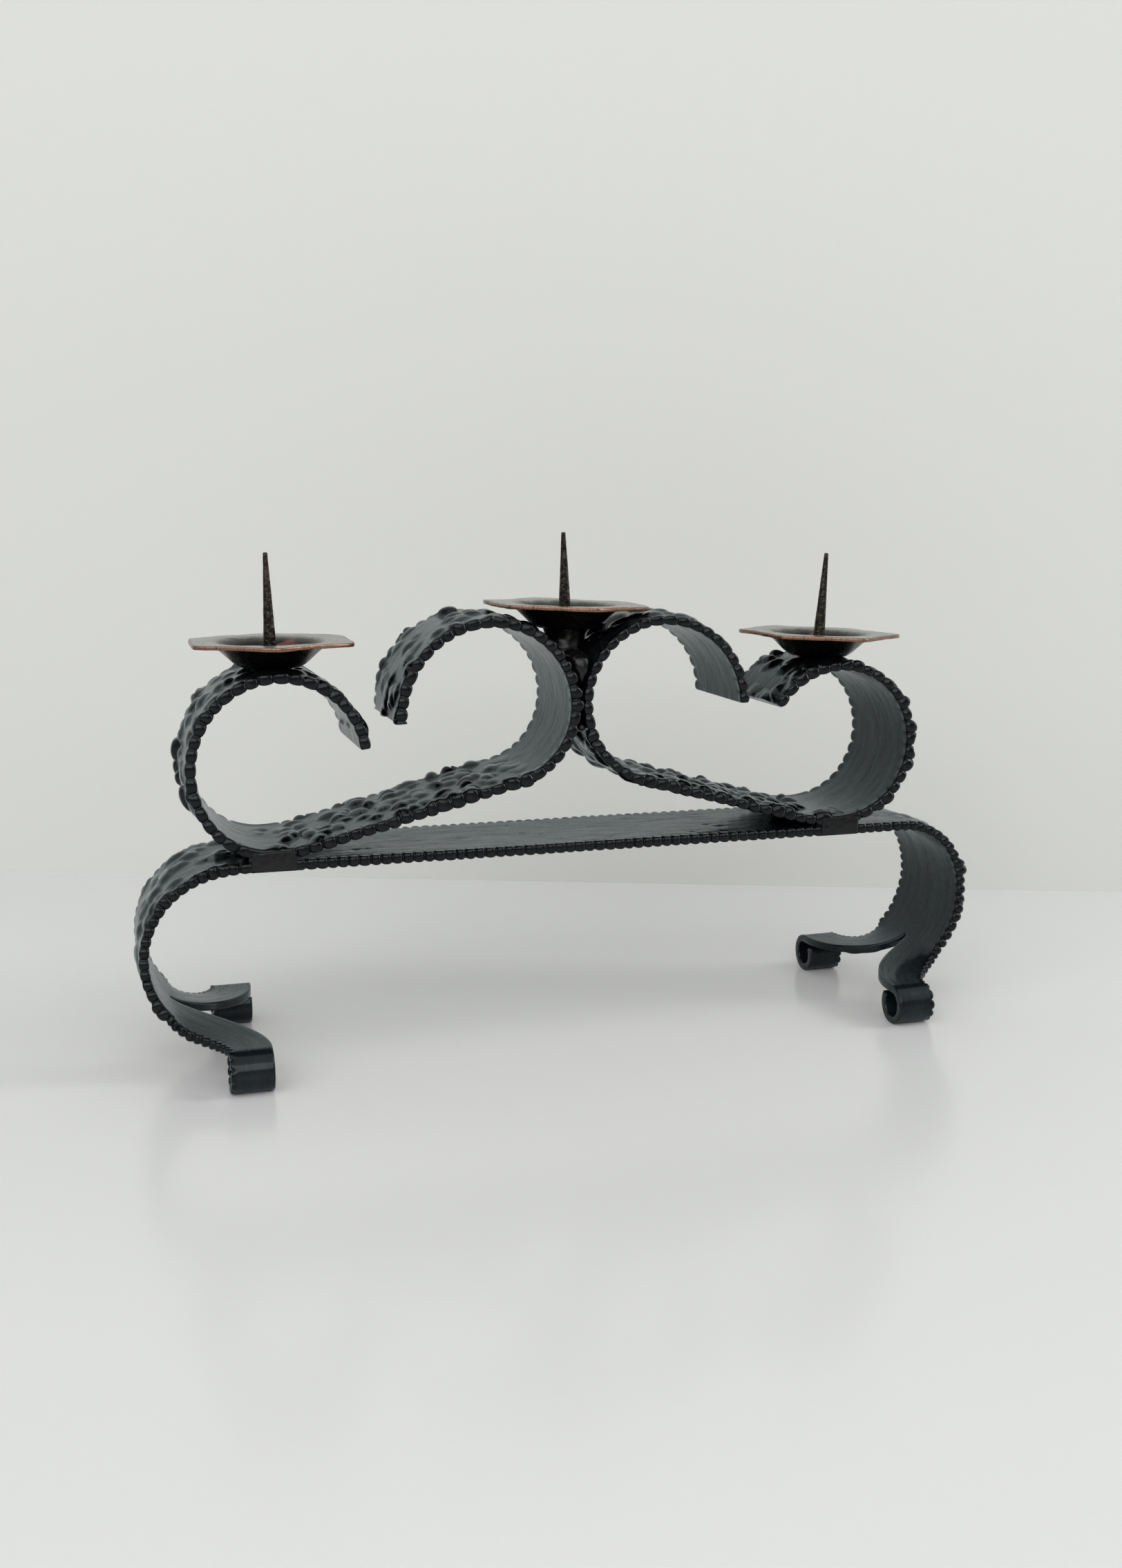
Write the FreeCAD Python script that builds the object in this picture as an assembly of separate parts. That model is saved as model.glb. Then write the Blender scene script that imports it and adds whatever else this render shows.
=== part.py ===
import FreeCAD, Part
import math
import os

# Three-light candelabrum forged from flat iron strap. Millimetres, +Z up.
# The origin is on the surface it stands on, under the middle of its length and depth.
# The length runs along X, the width of the straps along Y.

Vector = FreeCAD.Vector
Y_AXIS = Vector(0, 1, 0)
Z_AXIS = Vector(0, 0, 1)

# Straps
strap_width = 50.0
strap_thickness = 3.6
strap_gap = 0.6          # room that the hammered edges leave between two welded straps

# Base strap: a level run with a leg curling down at each end.
overall_length = 346.0
run_height = 81.0        # middle of the strap's thickness above the floor
left_leg = ((75.0, 12.0), (33.0, 65.0), (32.5, 56.0))    # arcs: radius, degrees turned
right_leg = ((27.5, 70.0), (37.0, 54.0), (43.0, 9.0))

# Feet: each leg is slit into two prongs that turn outwards and end in a roll.
slit_width = 1.2
foot_reach = 39.5        # middle of each roll, in front of and behind the middle plane
foot_width = 16.5        # length of the roll along X
left_foot_inset = 27.7   # middle of a roll, inwards from the end of its leg's slit
right_front_foot_inset = 22.2
right_back_foot_inset = 24.2
roll_radius = 8.4        # outside
roll_turn = 305.0        # degrees that the prong's end is rolled through
prong_end_thickness = 3.0
flat_depth = 0.35        # worn flat under each roll
prong_start_pull = 12.0  # how far a prong keeps its leg's direction
prong_end_pull = 16.0    # how far before the roll it already points straight out
prong_sections = 13

# Scroll straps: an outer loop, a foot welded to the base, a diagonal and an inner loop.
# The diagonal is as long as it takes to bring the inner loop to the meeting line.
touch_x = -1.5           # where the two inner loops meet back to back
left_scroll_inset = 7.0  # foot of the scroll, inwards from the end of the level run
right_scroll_inset = 31.7
left_outer_loop = ((28.0, 56.0), (35.0, 81.0), (32.0, 125.0))
left_foot_bend = (62.0, 14.6)
left_inner_loop = ((30.0, 82.0), (33.5, 98.0), (36.0, 78.0))
right_outer_loop = ((32.0, 79.0), (32.5, 83.0), (33.0, 76.0))
right_foot_bend = (74.0, 15.3)
right_inner_loop = ((33.0, 87.0), (32.0, 84.0), (35.0, 82.0))

# Pans: a six-sided flange round a shallow bowl.
pan_corner_radius = 34.5
pan_corner_rounding = 2.0
flange_thickness = 1.3
bowl_height = 10.0       # underside of the bowl to the top of the flange
bowl_mouth_radius = 20.5
bowl_floor_radius = 11.6
pan_wall = 1.2
pan_seat_gap = 0.4       # from a bowl to the crest of its loop, filled by its weld
middle_seat_gap = 2.4    # from the middle bowl to the two loops that it sits between

# Prickets: a tapered spike with a tail riveted under the pan.
spike_height = 41.0      # above the bowl's floor
middle_spike_height = 36.0
spike_base_radius = 2.7
spike_tip_radius = 0.8
shoulder_radius = 3.2    # collar between the spike and its tail
shoulder_height = 1.5
tail_radius = 2.2
tail_clearance = 0.1
rivet_head_radius = 4.6
rivet_head_height = 1.8

# Welds
base_weld_length = 18.0
base_weld_depth = 6.0    # in from the strap's edge
base_weld_bulge = 0.8    # out from the strap's edge
seam_weld_height = 4.0
seam_weld_offset = 7.0   # above and below the height where the loops come closest
pan_weld_radius = 9.5
pan_weld_depth = 5.0
middle_weld_depth = 9.0  # reaches down into the valley between the two loops


def seat(turn, tilt, lean):
    """One candle place: pan turned about Z, pan tilted and spike leaned about Y, degrees."""
    return {"turn": turn, "tilt": tilt, "lean": lean}


left_seat = seat(29.0, 0.0, -1.3)
middle_seat = seat(33.0, 1.4, -1.4)
right_seat = seat(37.0, 1.6, 3.6)


def unit(degrees):
    """Direction in the XZ plane, measured from +X towards +Z."""
    angle = math.radians(degrees)
    return Vector(math.cos(angle), 0, math.sin(angle))


def walk(start, heading, moves):
    """Follow straight runs (length, 0) and arcs (radius, signed degrees) from a point.

    Returns one dict per stretch and leaves the last point and heading in the last one.
    """
    stretches = []
    point = start
    for size, turn in moves:
        step = {"start": point, "from": heading, "turn": turn, "size": size}
        if turn == 0:
            step["end"] = point + unit(heading) * size
        else:
            side = math.copysign(90.0, turn)
            step["centre"] = point + unit(heading + side) * size
            step["end"] = step["centre"] + unit(heading + turn - side) * size
        heading = heading + turn
        step["to"] = heading
        point = step["end"]
        stretches.append(step)
    return stretches


def offset_edge(step, offset):
    """Edge that runs beside one stretch, offset to its left."""
    first = step["start"] + unit(step["from"] + 90.0) * offset
    last = step["end"] + unit(step["to"] + 90.0) * offset
    if step["turn"] == 0:
        return Part.makeLine(first, last)
    side = math.copysign(90.0, step["turn"])
    radius = step["size"] - offset * side / 90.0
    middle = step["centre"] + unit(step["from"] + step["turn"] / 2.0 - side) * radius
    return Part.Arc(first, middle, last).toShape()


def strap_along(stretches):
    """Strap of full width whose middle line follows the stretches."""
    half = strap_thickness / 2.0
    edges = []
    for step in stretches:
        edges.append(offset_edge(step, half))
        edges.append(offset_edge(step, -half))
    ends = ((stretches[0]["start"], stretches[0]["from"]), (stretches[-1]["end"], stretches[-1]["to"]))
    for point, heading in ends:
        normal = unit(heading + 90.0) * half
        edges.append(Part.makeLine(point + normal, point - normal))
    face = Part.Face(Part.Wire(Part.sortEdges(edges)[0]))
    face.translate(Y_AXIS * (-strap_width / 2.0))
    return face.extrude(Y_AXIS * strap_width)


def reach(stretches, direction):
    """How far the middle line goes along +X (direction 1) or -X (direction -1)."""
    values = [direction * step["end"].x for step in stretches]
    for step in stretches:
        if step["turn"] != 0 and faces(step, 0.0 if direction > 0 else 180.0):
            values.append(direction * step["centre"].x + step["size"])
    return max(values)


def faces(step, bearing):
    """True if an arc passes the given bearing as seen from its centre."""
    side = math.copysign(90.0, step["turn"])
    swept = (bearing - (step["from"] - side)) * math.copysign(1.0, step["turn"])
    return swept % 360.0 <= abs(step["turn"])


def outer_height(stretches, x):
    """Height of a scroll's upper surface at x."""
    heights = []
    for step in stretches:
        if step["turn"] == 0:
            continue
        radius = step["size"] + strap_thickness / 2.0
        across = x - step["centre"].x
        if abs(across) < radius:
            rise = math.sqrt(radius * radius - across * across)
            if faces(step, math.degrees(math.atan2(rise, across))):
                heights.append(step["centre"].z + rise)
    return max(heights)


def crest_x(stretches):
    """x of the highest point of a loop."""
    for step in stretches:
        if step["turn"] != 0 and faces(step, 90.0):
            return step["centre"].x
    return stretches[-1]["end"].x


def turned(arcs, sense):
    """Arcs with their turn given a sign: 1 is anticlockwise seen from the front."""
    return [(radius, sense * degrees) for radius, degrees in arcs]


def prong(leg_end, heading, side, front, foot_x):
    """One prong, as its strip and its roll. side is -1 on the left, front is -1 at the front."""
    roll_centre_z = roll_radius - flat_depth
    start_width = (strap_width - slit_width) / 2.0
    start = leg_end + Y_AXIS * (front * (strap_width + slit_width) / 4.0)
    end_z = roll_centre_z + roll_radius - prong_end_thickness / 2.0
    end = Vector(foot_x, front * foot_reach, end_z)
    poles = [start, start + unit(heading) * prong_start_pull]
    poles.append(end - Y_AXIS * (front * prong_end_pull))
    poles.append(end)
    curve = Part.BezierCurve()
    curve.setPoles(poles)
    sections = []
    for index in range(prong_sections):
        u = index / (prong_sections - 1.0)
        tangent = curve.tangent(u)[0]
        across = Y_AXIS * (front * (1.0 - u)) + Vector(side * u, 0, 0)
        across = across - tangent * across.dot(tangent)
        across.normalize()
        normal = tangent.cross(across)
        half_width = (start_width + (foot_width - start_width) * u) / 2.0
        half_depth = (strap_thickness + (prong_end_thickness - strap_thickness) * u) / 2.0
        corners = []
        for a, b in ((-1, -1), (1, -1), (1, 1), (-1, 1), (-1, -1)):
            corners.append(curve.value(u) + across * (a * half_width) + normal * (b * half_depth))
        sections.append(Part.makePolygon(corners))
    return [Part.makeLoft(sections, True, True), roll(foot_x, front, roll_centre_z)]


def roll(foot_x, front, centre_z):
    """Rolled end of a prong, its axis along X."""
    centre = Vector(foot_x - foot_width / 2.0, front * foot_reach, centre_z)
    corners = []
    for x, z in ((0, 0), (foot_width, 0), (foot_width, -1), (0, -1), (0, 0)):
        corners.append(centre + Vector(x, 0, roll_radius + z * prong_end_thickness))
    section = Part.Face(Part.makePolygon(corners))
    return section.revolve(centre, Vector(1, 0, 0), -front * roll_turn)


def legs():
    """Both legs, walked outwards from the ends of the level run."""
    half_length = (overall_length - strap_thickness) / 2.0
    result = []
    for sense, heading, arcs in ((1.0, 180.0, left_leg), (-1.0, 0.0, right_leg)):
        trial = walk(Vector(0, 0, run_height), heading, turned(arcs, sense))
        start_x = -sense * (half_length - reach(trial, -sense))
        result.append(walk(Vector(start_x, 0, run_height), heading, turned(arcs, sense)))
    return result


def base_strap(left, right):
    """Level run, both legs and their four feet as one forging."""
    left_end = left[-1]["end"]
    right_end = right[-1]["end"]
    run_length = right[0]["start"].x - left[0]["start"].x
    run = walk(left[0]["start"], 0.0, [(run_length, 0)])
    solids = [strap_along(left), strap_along(right)]
    for front, right_inset in ((-1, right_front_foot_inset), (1, right_back_foot_inset)):
        solids += prong(left_end, left[-1]["to"], -1, front, left_end.x + left_foot_inset)
        solids += prong(right_end, right[-1]["to"], 1, front, right_end.x - right_inset)
    whole = strap_along(run).multiFuse(solids)
    floor = Part.makeBox(2 * overall_length, 2 * overall_length, 50)
    floor.translate(Vector(-overall_length, -overall_length, -50))
    return whole.cut(floor).removeSplitter()


def scroll_walks(sense, foot_x, outer_loop, foot_bend, inner_loop):
    """Both halves of a scroll, walked from its foot on the base. sense is 1 for the left one."""
    foot = Vector(foot_x, 0, run_height + strap_thickness + strap_gap)
    outward = 180.0 if sense > 0 else 0.0
    inward = 180.0 - outward
    outer = walk(foot, outward, turned(outer_loop, -sense))
    bend = turned([foot_bend], sense)
    loop = turned(inner_loop, sense)
    clear = (strap_thickness + strap_gap) / 2.0
    shortfall = sense * touch_x - clear - reach(walk(foot, inward, bend + loop), sense)
    diagonal = shortfall / math.cos(math.radians(foot_bend[1]))
    inner = walk(foot, inward, bend + [(diagonal, 0)] + loop)
    return outer, inner


def pan(place, centre):
    """Six-sided flange with a bowl; centre is the middle of the bowl's underside."""
    top = bowl_height
    points = []
    for index in range(7):
        bearing = math.radians(60.0 * index)
        points.append(Vector(math.cos(bearing), math.sin(bearing), 0) * pan_corner_radius)
    flange = Part.Face(Part.makePolygon(points)).extrude(Z_AXIS * flange_thickness)
    corners = [edge for edge in flange.Edges if abs(edge.tangentAt(edge.FirstParameter).z) > 0.9]
    flange = flange.makeFillet(pan_corner_rounding, corners)
    flange.translate(Z_AXIS * (top - flange_thickness))
    outer = Part.makeCone(bowl_floor_radius, bowl_mouth_radius + pan_wall, top)
    hollow = Part.makeCone(bowl_floor_radius, bowl_mouth_radius, top - pan_wall)
    hollow.translate(Z_AXIS * pan_wall)
    hole = Part.makeCylinder(tail_radius + tail_clearance, 2 * pan_wall)
    hole.translate(Z_AXIS * (-pan_wall / 2.0))
    body = flange.fuse(outer).cut(hollow).cut(hole).removeSplitter()
    body.rotate(Vector(0, 0, 0), Z_AXIS, place["turn"])
    body.rotate(Vector(0, 0, 0), Y_AXIS, place["tilt"])
    body.translate(centre)
    return body


def pricket(place, centre, height, grip):
    """Tapered spike on the bowl's floor. Its tail is riveted under the grip, if there is one."""
    apex = Vector(0, 0, height)
    tip_centre = Vector(0, 0, height - spike_tip_radius)
    flank_top = tip_centre + unit(0.0) * spike_tip_radius
    foot = Vector(spike_base_radius, 0, 0)
    edges = [Part.makeLine(Vector(0, 0, 0), foot), Part.makeLine(foot, flank_top)]
    edges.append(Part.Arc(flank_top, tip_centre + unit(45.0) * spike_tip_radius, apex).toShape())
    edges.append(Part.makeLine(apex, Vector(0, 0, 0)))
    spike = Part.Face(Part.Wire(edges)).revolve(Vector(0, 0, 0), Z_AXIS, 360)
    spike.rotate(Vector(0, 0, 0), Y_AXIS, place["lean"])
    spike.translate(Z_AXIS * (pan_wall + shoulder_height / 2.0))
    shoulder = Part.makeCylinder(shoulder_radius, shoulder_height)
    shoulder.translate(Z_AXIS * pan_wall)
    tail = Part.makeCylinder(tail_radius, grip + pan_wall + shoulder_height / 2.0)
    tail.translate(Z_AXIS * -grip)
    joined = [shoulder, tail]
    if grip > 0:
        head = Part.makeCone(rivet_head_radius * 0.6, rivet_head_radius, rivet_head_height)
        head.translate(Z_AXIS * (-grip - rivet_head_height))
        joined.append(head)
    body = spike.multiFuse(joined).removeSplitter()
    body.translate(centre)
    return body


def box_round(centre, size_x, size_y, size_z):
    """Box about a middle point."""
    corner = centre - Vector(size_x, size_y, size_z) / 2.0
    return Part.makeBox(size_x, size_y, size_z, corner)


def save(name, solids):
    """Write one node; several solids stay separate."""
    shape = solids[0] if len(solids) == 1 else Part.makeCompound(solids)
    shape.exportStep(os.path.join("parts", name + ".step"))
    box = shape.BoundBox
    print(name, "solids", len(shape.Solids), "valid", shape.isValid(), "volume", round(shape.Volume, 1),
          "x", round(box.XMin, 2), round(box.XMax, 2), "y", round(box.YMin, 2), round(box.YMax, 2),
          "z", round(box.ZMin, 2), round(box.ZMax, 2))


def largest(shape):
    """Biggest solid of a cut shape."""
    return max(shape.Solids, key=lambda solid: solid.Volume)


def base_welds(foot, straps):
    """Weld pads at the front and back edges where a scroll sits on the base."""
    pads = []
    height = strap_thickness + strap_gap
    for front in (-1, 1):
        middle_y = front * (strap_width + base_weld_bulge - base_weld_depth) / 2.0
        centre = Vector(foot.x, middle_y, foot.z - height / 2.0)
        pad = box_round(centre, base_weld_length, base_weld_depth + base_weld_bulge, height)
        pads.append(largest(pad.cut(straps)))
    return pads


def seam_welds(straps):
    """Weld runs in the valleys above and below the line where the inner loops meet."""
    heights = []
    for stretches, bearing in ((left_inner, 0.0), (right_inner, 180.0)):
        heights += [step["centre"].z for step in stretches if step["turn"] != 0 and faces(step, bearing)]
    middle_z = sum(heights) / len(heights)
    runs = []
    for side in (-1, 1):
        centre = Vector(touch_x, 0, middle_z + side * (seam_weld_offset + seam_weld_height / 2.0))
        bar = box_round(centre, 2 * strap_thickness, strap_width - 2 * base_weld_bulge, seam_weld_height)
        runs.append(largest(bar.cut(straps)))
    return runs


def pan_weld(centre, depth, cutters):
    """Weld metal between the underside of a bowl and the strap below it."""
    bead = Part.makeCylinder(pan_weld_radius, depth + pan_wall / 2.0)
    bead.translate(centre - Z_AXIS * depth)
    return largest(bead.cut(cutters))


os.makedirs("parts", exist_ok=True)

left_legs, right_legs = legs()
base = base_strap(left_legs, right_legs)
left_foot = left_legs[0]["start"].x + left_scroll_inset
right_foot = right_legs[0]["start"].x - right_scroll_inset
left_outer, left_inner = scroll_walks(1.0, left_foot, left_outer_loop, left_foot_bend,
                                      left_inner_loop)
right_outer, right_inner = scroll_walks(-1.0, right_foot, right_outer_loop, right_foot_bend,
                                        right_inner_loop)
left_scroll = strap_along(left_outer).fuse(strap_along(left_inner)).removeSplitter()
right_scroll = strap_along(right_outer).fuse(strap_along(right_inner)).removeSplitter()

left_x = crest_x(left_outer)
right_x = crest_x(right_outer)
left_centre = Vector(left_x, 0, outer_height(left_outer, left_x) + pan_seat_gap)
right_centre = Vector(right_x, 0, outer_height(right_outer, right_x) + pan_seat_gap)
middle_z = max(outer_height(left_inner, touch_x - bowl_floor_radius),
               outer_height(right_inner, touch_x + bowl_floor_radius)) + middle_seat_gap
middle_centre = Vector(touch_x, 0, middle_z)

seats = [("left", left_seat, left_centre), ("middle", middle_seat, middle_centre),
         ("right", right_seat, right_centre)]

left_drill = Part.makeCylinder(tail_radius + tail_clearance, 3 * strap_thickness)
left_drill.translate(left_centre - Z_AXIS * 3 * strap_thickness)
left_scroll = left_scroll.cut(left_drill)
right_drill = Part.makeCylinder(tail_radius + tail_clearance, 3 * strap_thickness)
right_drill.translate(right_centre - Z_AXIS * 3 * strap_thickness)
right_scroll = right_scroll.cut(right_drill)

scrolls = [left_scroll, right_scroll]
save("base_strap", base.Solids)
save("left_scroll_strap", left_scroll.Solids)
save("right_scroll_strap", right_scroll.Solids)
save("left_base_weld", base_welds(left_outer[0]["start"], [base, left_scroll]))
save("right_base_weld", base_welds(right_outer[0]["start"], [base, right_scroll]))
save("centre_weld", seam_welds(scrolls))
for side, place, centre in seats:
    middle = side == "middle"
    height = middle_spike_height if middle else spike_height
    grip = 0.0 if middle else pan_seat_gap + strap_thickness
    dish = pan(place, centre)
    spike = largest(pricket(place, centre, height, grip).cut(scrolls + [dish]))
    weld_depth = middle_weld_depth if middle else pan_weld_depth
    save(side + "_pan", dish.Solids)
    save(side + "_pricket", [spike])
    save(side + "_pan_weld", [pan_weld(centre, weld_depth, scrolls + [dish, spike])])
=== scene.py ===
import logging
import math
import random
from dataclasses import dataclass, field
from enum import Enum
from functools import partial

import bmesh
import bpy
import numpy as np
from mathutils import Matrix, Vector, noise


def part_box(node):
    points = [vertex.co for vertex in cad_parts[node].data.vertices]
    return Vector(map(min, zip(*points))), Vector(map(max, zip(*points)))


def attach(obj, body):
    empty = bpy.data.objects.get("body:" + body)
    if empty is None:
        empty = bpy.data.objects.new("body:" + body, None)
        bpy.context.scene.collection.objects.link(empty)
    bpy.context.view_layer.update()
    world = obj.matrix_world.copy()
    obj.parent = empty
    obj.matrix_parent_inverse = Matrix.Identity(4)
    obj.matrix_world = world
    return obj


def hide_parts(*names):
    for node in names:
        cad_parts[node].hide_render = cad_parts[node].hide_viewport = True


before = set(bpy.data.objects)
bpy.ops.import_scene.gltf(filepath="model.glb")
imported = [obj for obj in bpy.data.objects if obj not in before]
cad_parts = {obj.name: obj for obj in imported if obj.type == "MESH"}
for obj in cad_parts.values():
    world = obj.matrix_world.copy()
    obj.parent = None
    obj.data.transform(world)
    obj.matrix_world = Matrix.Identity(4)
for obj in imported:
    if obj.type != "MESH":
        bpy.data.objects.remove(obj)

# Three-light candelabrum forged from flat iron strap, dressed for the camera.
# The classes hold their sizes in millimetres; publish() scales a finished mesh to metres.

LOG = logging.getLogger("candelabrum")
MM = 0.001
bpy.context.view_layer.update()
BODY = "root"
LINE_SAMPLES = 4000  # places along a strap at which its reach is measured


class Slot(Enum):
    """Kinds of material, each of which gives the suffix of a piece's name."""

    STRAP = "strap"
    PAN = "pan"
    PRICKET = "pricket"
    WELD = "weld"


WORK = {Slot.STRAP: "forged", Slot.PAN: "raised", Slot.PRICKET: "drawn", Slot.WELD: "metal"}


class Sense(Enum):
    """Which way a strap curls as it is followed from its first end, seen from the front."""

    ANTICLOCKWISE = 1
    CLOCKWISE = -1


# ---------------------------------------------------------------- shader helpers


def linear(code: str) -> tuple[float, float, float, float]:
    """Turns an sRGB hex colour into a linear one.

    Args:
        code: Colour as "#rrggbb".

    Returns:
        Linear red, green, blue and an alpha of 1.
    """
    values = [int(code[i : i + 2], 16) / 255 for i in (1, 3, 5)]
    parts = [v / 12.92 if v <= 0.04045 else ((v + 0.055) / 1.055) ** 2.4 for v in values]
    return (parts[0], parts[1], parts[2], 1.0)


def add_node(tree: bpy.types.NodeTree, kind: str, inputs: dict | None = None, **settings) -> bpy.types.Node:
    """Adds one node, sets it and links it.

    Args:
        tree: Node tree that gets the node.
        kind: Node type without its "ShaderNode", such as "TexNoise".
        inputs: Value, output socket or node for each input, by name or index; a node stands for
            its first output.
        **settings: Properties of the node; "stops" are pairs of place and hex colour of a ramp.

    Returns:
        The new node.
    """
    node = tree.nodes.new("ShaderNode" + kind)
    for index, (place, code) in enumerate(settings.pop("stops", ())):
        elements = node.color_ramp.elements
        element = elements[index] if index < 2 else elements.new(place)
        element.position, element.color = place, linear(code)
    for name, value in settings.items():
        setattr(node, name, value)
    for name, value in (inputs or {}).items():
        source = value.outputs[0] if isinstance(value, bpy.types.Node) else value
        if isinstance(source, bpy.types.NodeSocket):
            tree.links.new(source, node.inputs[name])
        else:
            node.inputs[name].default_value = source
    return node


def start_material(name: str) -> tuple[bpy.types.Material, partial]:
    """New material without nodes.

    Args:
        name: Name of the material.

    Returns:
        The material, and add_node bound to its tree.
    """
    material = bpy.data.materials.new(name)
    material.use_nodes = True
    material.node_tree.nodes.clear()
    return material, partial(add_node, material.node_tree)


# ---------------------------------------------------------------- finishes


@dataclass(frozen=True)
class BlackenedIron:
    """Hot-forged mild steel, oil-blackened and waxed.

    Hammered hollows are painted a lighter grey-blue, partly grey scale and partly painted sheen, while the
    raised lumps carry the glossy black of the oil finish and throw small hard highlights.
    """

    name: str = "oil_blackened_forged_iron"
    # Lighter than the face, partly grey scale and partly painted sheen; in the edge grooves it stands for painted
    # highlights.
    hollow_scale_and_sheen: str = "#1b2226"
    face: str = "#0d1113"
    lump: str = "#0b0c0d"
    rust: str = "#241b16"
    hollow_roughness: float = 0.30
    lump_roughness: float = 0.13
    stria_length: float = 16.0  # lengthwise drawing marks left by the hammer and brush
    stria_width: float = 0.9
    scale_grain: float = 1.1  # forge scale, drawn twice its real size so that it shows

    def material(self) -> bpy.types.Material:
        """Builds the material, whose marks follow the strap by its own run attribute.

        Returns:
            The material.
        """
        material, add = start_material(self.name)
        run = add("Attribute", attribute_name="run").outputs["Vector"]
        relief = add("Attribute", attribute_name="relief").outputs["Fac"]
        lengthwise = add("Mapping",
            {0: run, 3: (1 / (self.stria_length * MM), 1 / (self.stria_width * MM), 400.0)},
            vector_type="POINT",
        )
        stria = add("TexNoise", {0: lengthwise, "Scale": 1.0, "Detail": 4.0, "Roughness": 0.6})
        grain = add("TexNoise",
            {0: run, "Scale": 1 / (self.scale_grain * MM), "Detail": 5.0, "Roughness": 0.65},
        )
        patches = add("TexNoise", {0: run, "Scale": 1 / (14 * MM), "Detail": 3.0})
        height = add("Math", {0: patches, 1: 0.55, 2: relief}, operation="MULTIPLY_ADD"
        )
        shade = add("Math", {0: stria, 1: 0.35, 2: height}, operation="MULTIPLY_ADD")
        # The ramp paints the low places lighter, partly grey scale and partly painted sheen, and the raised lumps
        # and edge beads black.
        shades = ((0.32, self.hollow_scale_and_sheen), (0.60, self.face), (0.95, self.lump))
        colour = add("ValToRGB", {0: shade}, stops=shades)
        stain = add("MapRange",
            {0: patches, 1: 0.60, 2: 0.78, 3: 0.0, 4: 0.35},
        )
        mixed = add("Mix", {0: stain, 6: colour, 7: linear(self.rust)}, data_type="RGBA").outputs[2]
        rough = add("MapRange",
            {0: shade, 1: 0.35, 2: 0.9, 3: self.hollow_roughness, 4: self.lump_roughness},
        )
        speckle = add("Math", {0: grain, 1: 0.22, 2: rough}, operation="MULTIPLY_ADD")
        scars = add("MapRange", {0: stria, 1: 0.54, 2: 0.66, 3: -0.11, 4: 0.20})
        settled = add("Math", {0: speckle, 1: scars}, operation="ADD")
        both = add("Math", {0: stria, 1: 0.8, 2: grain}, operation="MULTIPLY_ADD")
        bump = add("Bump", {"Height": both, "Strength": 0.22, "Distance": 0.15 * MM})
        shader = add(
            "BsdfPrincipled",
            {
                "Base Color": mixed,
                "Roughness": settled,
                "Normal": bump,
                "Metallic": 0.45,
                "Specular IOR Level": 0.25,
                "Specular Tint": linear("#b4cad2"),
                "Coat Weight": 0.3,
                "Coat Roughness": 0.12,
            },
        )
        add("OutputMaterial", {"Surface": shader})
        return material


@dataclass(frozen=True)
class SheetIron:
    """Hand-cut sheet iron, browned by candle heat.

    The flange's top is brushed grey, its cut edge is worn to a warm copper tone, and the
    bowl is nearly black with a film of old wax on its floor.
    """

    name: str = "browned_sheet_iron"
    top: str = "#8b8c87"
    soot: str = "#1c1b1a"
    edge: str = "#80604f"
    wax: str = "#6d332b"
    roughness: float = 0.27
    scratch_length: float = 9.0
    scratch_width: float = 0.5

    def material(self) -> bpy.types.Material:
        """Builds the material on the pan's own flat coordinates.

        Returns:
            The material.
        """
        material, add = start_material(self.name)
        place = add("Attribute", attribute_name="run").outputs["Vector"]
        rim = add("Attribute", attribute_name="relief").outputs["Fac"]
        wax = add("Attribute", attribute_name="wax").outputs["Fac"]
        cloud = add("TexNoise", {0: place, "Scale": 1 / (5 * MM), "Detail": 5.0})
        stretched = add("Mapping",
            {0: place, 3: (1 / (self.scratch_length * MM), 1 / (self.scratch_width * MM), 300.0)},
        )
        scratch = add("TexNoise", {0: stretched, "Scale": 1.0, "Detail": 3.0})
        grain = add("TexNoise", {0: place, "Scale": 1 / (0.8 * MM), "Detail": 4.0})
        # The relief attribute says where on the section a point is: 0 bowl, 0.5 flange top, 1 cut edge.
        wander = add("Math", {0: cloud, 1: 0.22, 2: rim}, operation="MULTIPLY_ADD")
        zone = add("Math", {0: wander, 1: 0.11}, operation="SUBTRACT")
        zones = ((0.16, self.soot), (0.33, "#4c4c48"), (0.43, self.top), (0.62, self.top), (0.80, self.edge))
        base = add("ValToRGB", {0: zone}, stops=zones)
        dirt = add("MapRange", {0: scratch, 1: 0.52, 2: 0.66, 3: 0.0, 4: 0.7})
        dirty = add("Mix", {0: dirt, 6: base, 7: linear("#3a342f")}, data_type="RGBA").outputs[2]
        waxed = add("Math", {0: wax, 1: cloud}, operation="MULTIPLY")
        film = add("MapRange", {0: waxed, 1: 0.38, 2: 0.52, 3: 0.0, 4: 0.85})
        final = add("Mix", {0: film, 6: dirty, 7: linear(self.wax)}, data_type="RGBA").outputs[2]
        metal = add("MapRange", {0: film, 1: 0.0, 2: 0.85, 3: 0.75, 4: 0.0})
        rough = add("Math", {0: grain, 1: 0.30, 2: self.roughness - 0.15}, operation="MULTIPLY_ADD")
        both = add("Math", {0: scratch, 1: 0.6, 2: grain}, operation="MULTIPLY_ADD")
        bump = add("Bump", {"Height": both, "Strength": 0.3, "Distance": 0.15 * MM})
        shader = add(
            "BsdfPrincipled",
            {
                "Base Color": final,
                "Metallic": metal,
                "Roughness": rough,
                "Normal": bump,
            },
        )
        add("OutputMaterial", {"Surface": shader})
        return material


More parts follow.
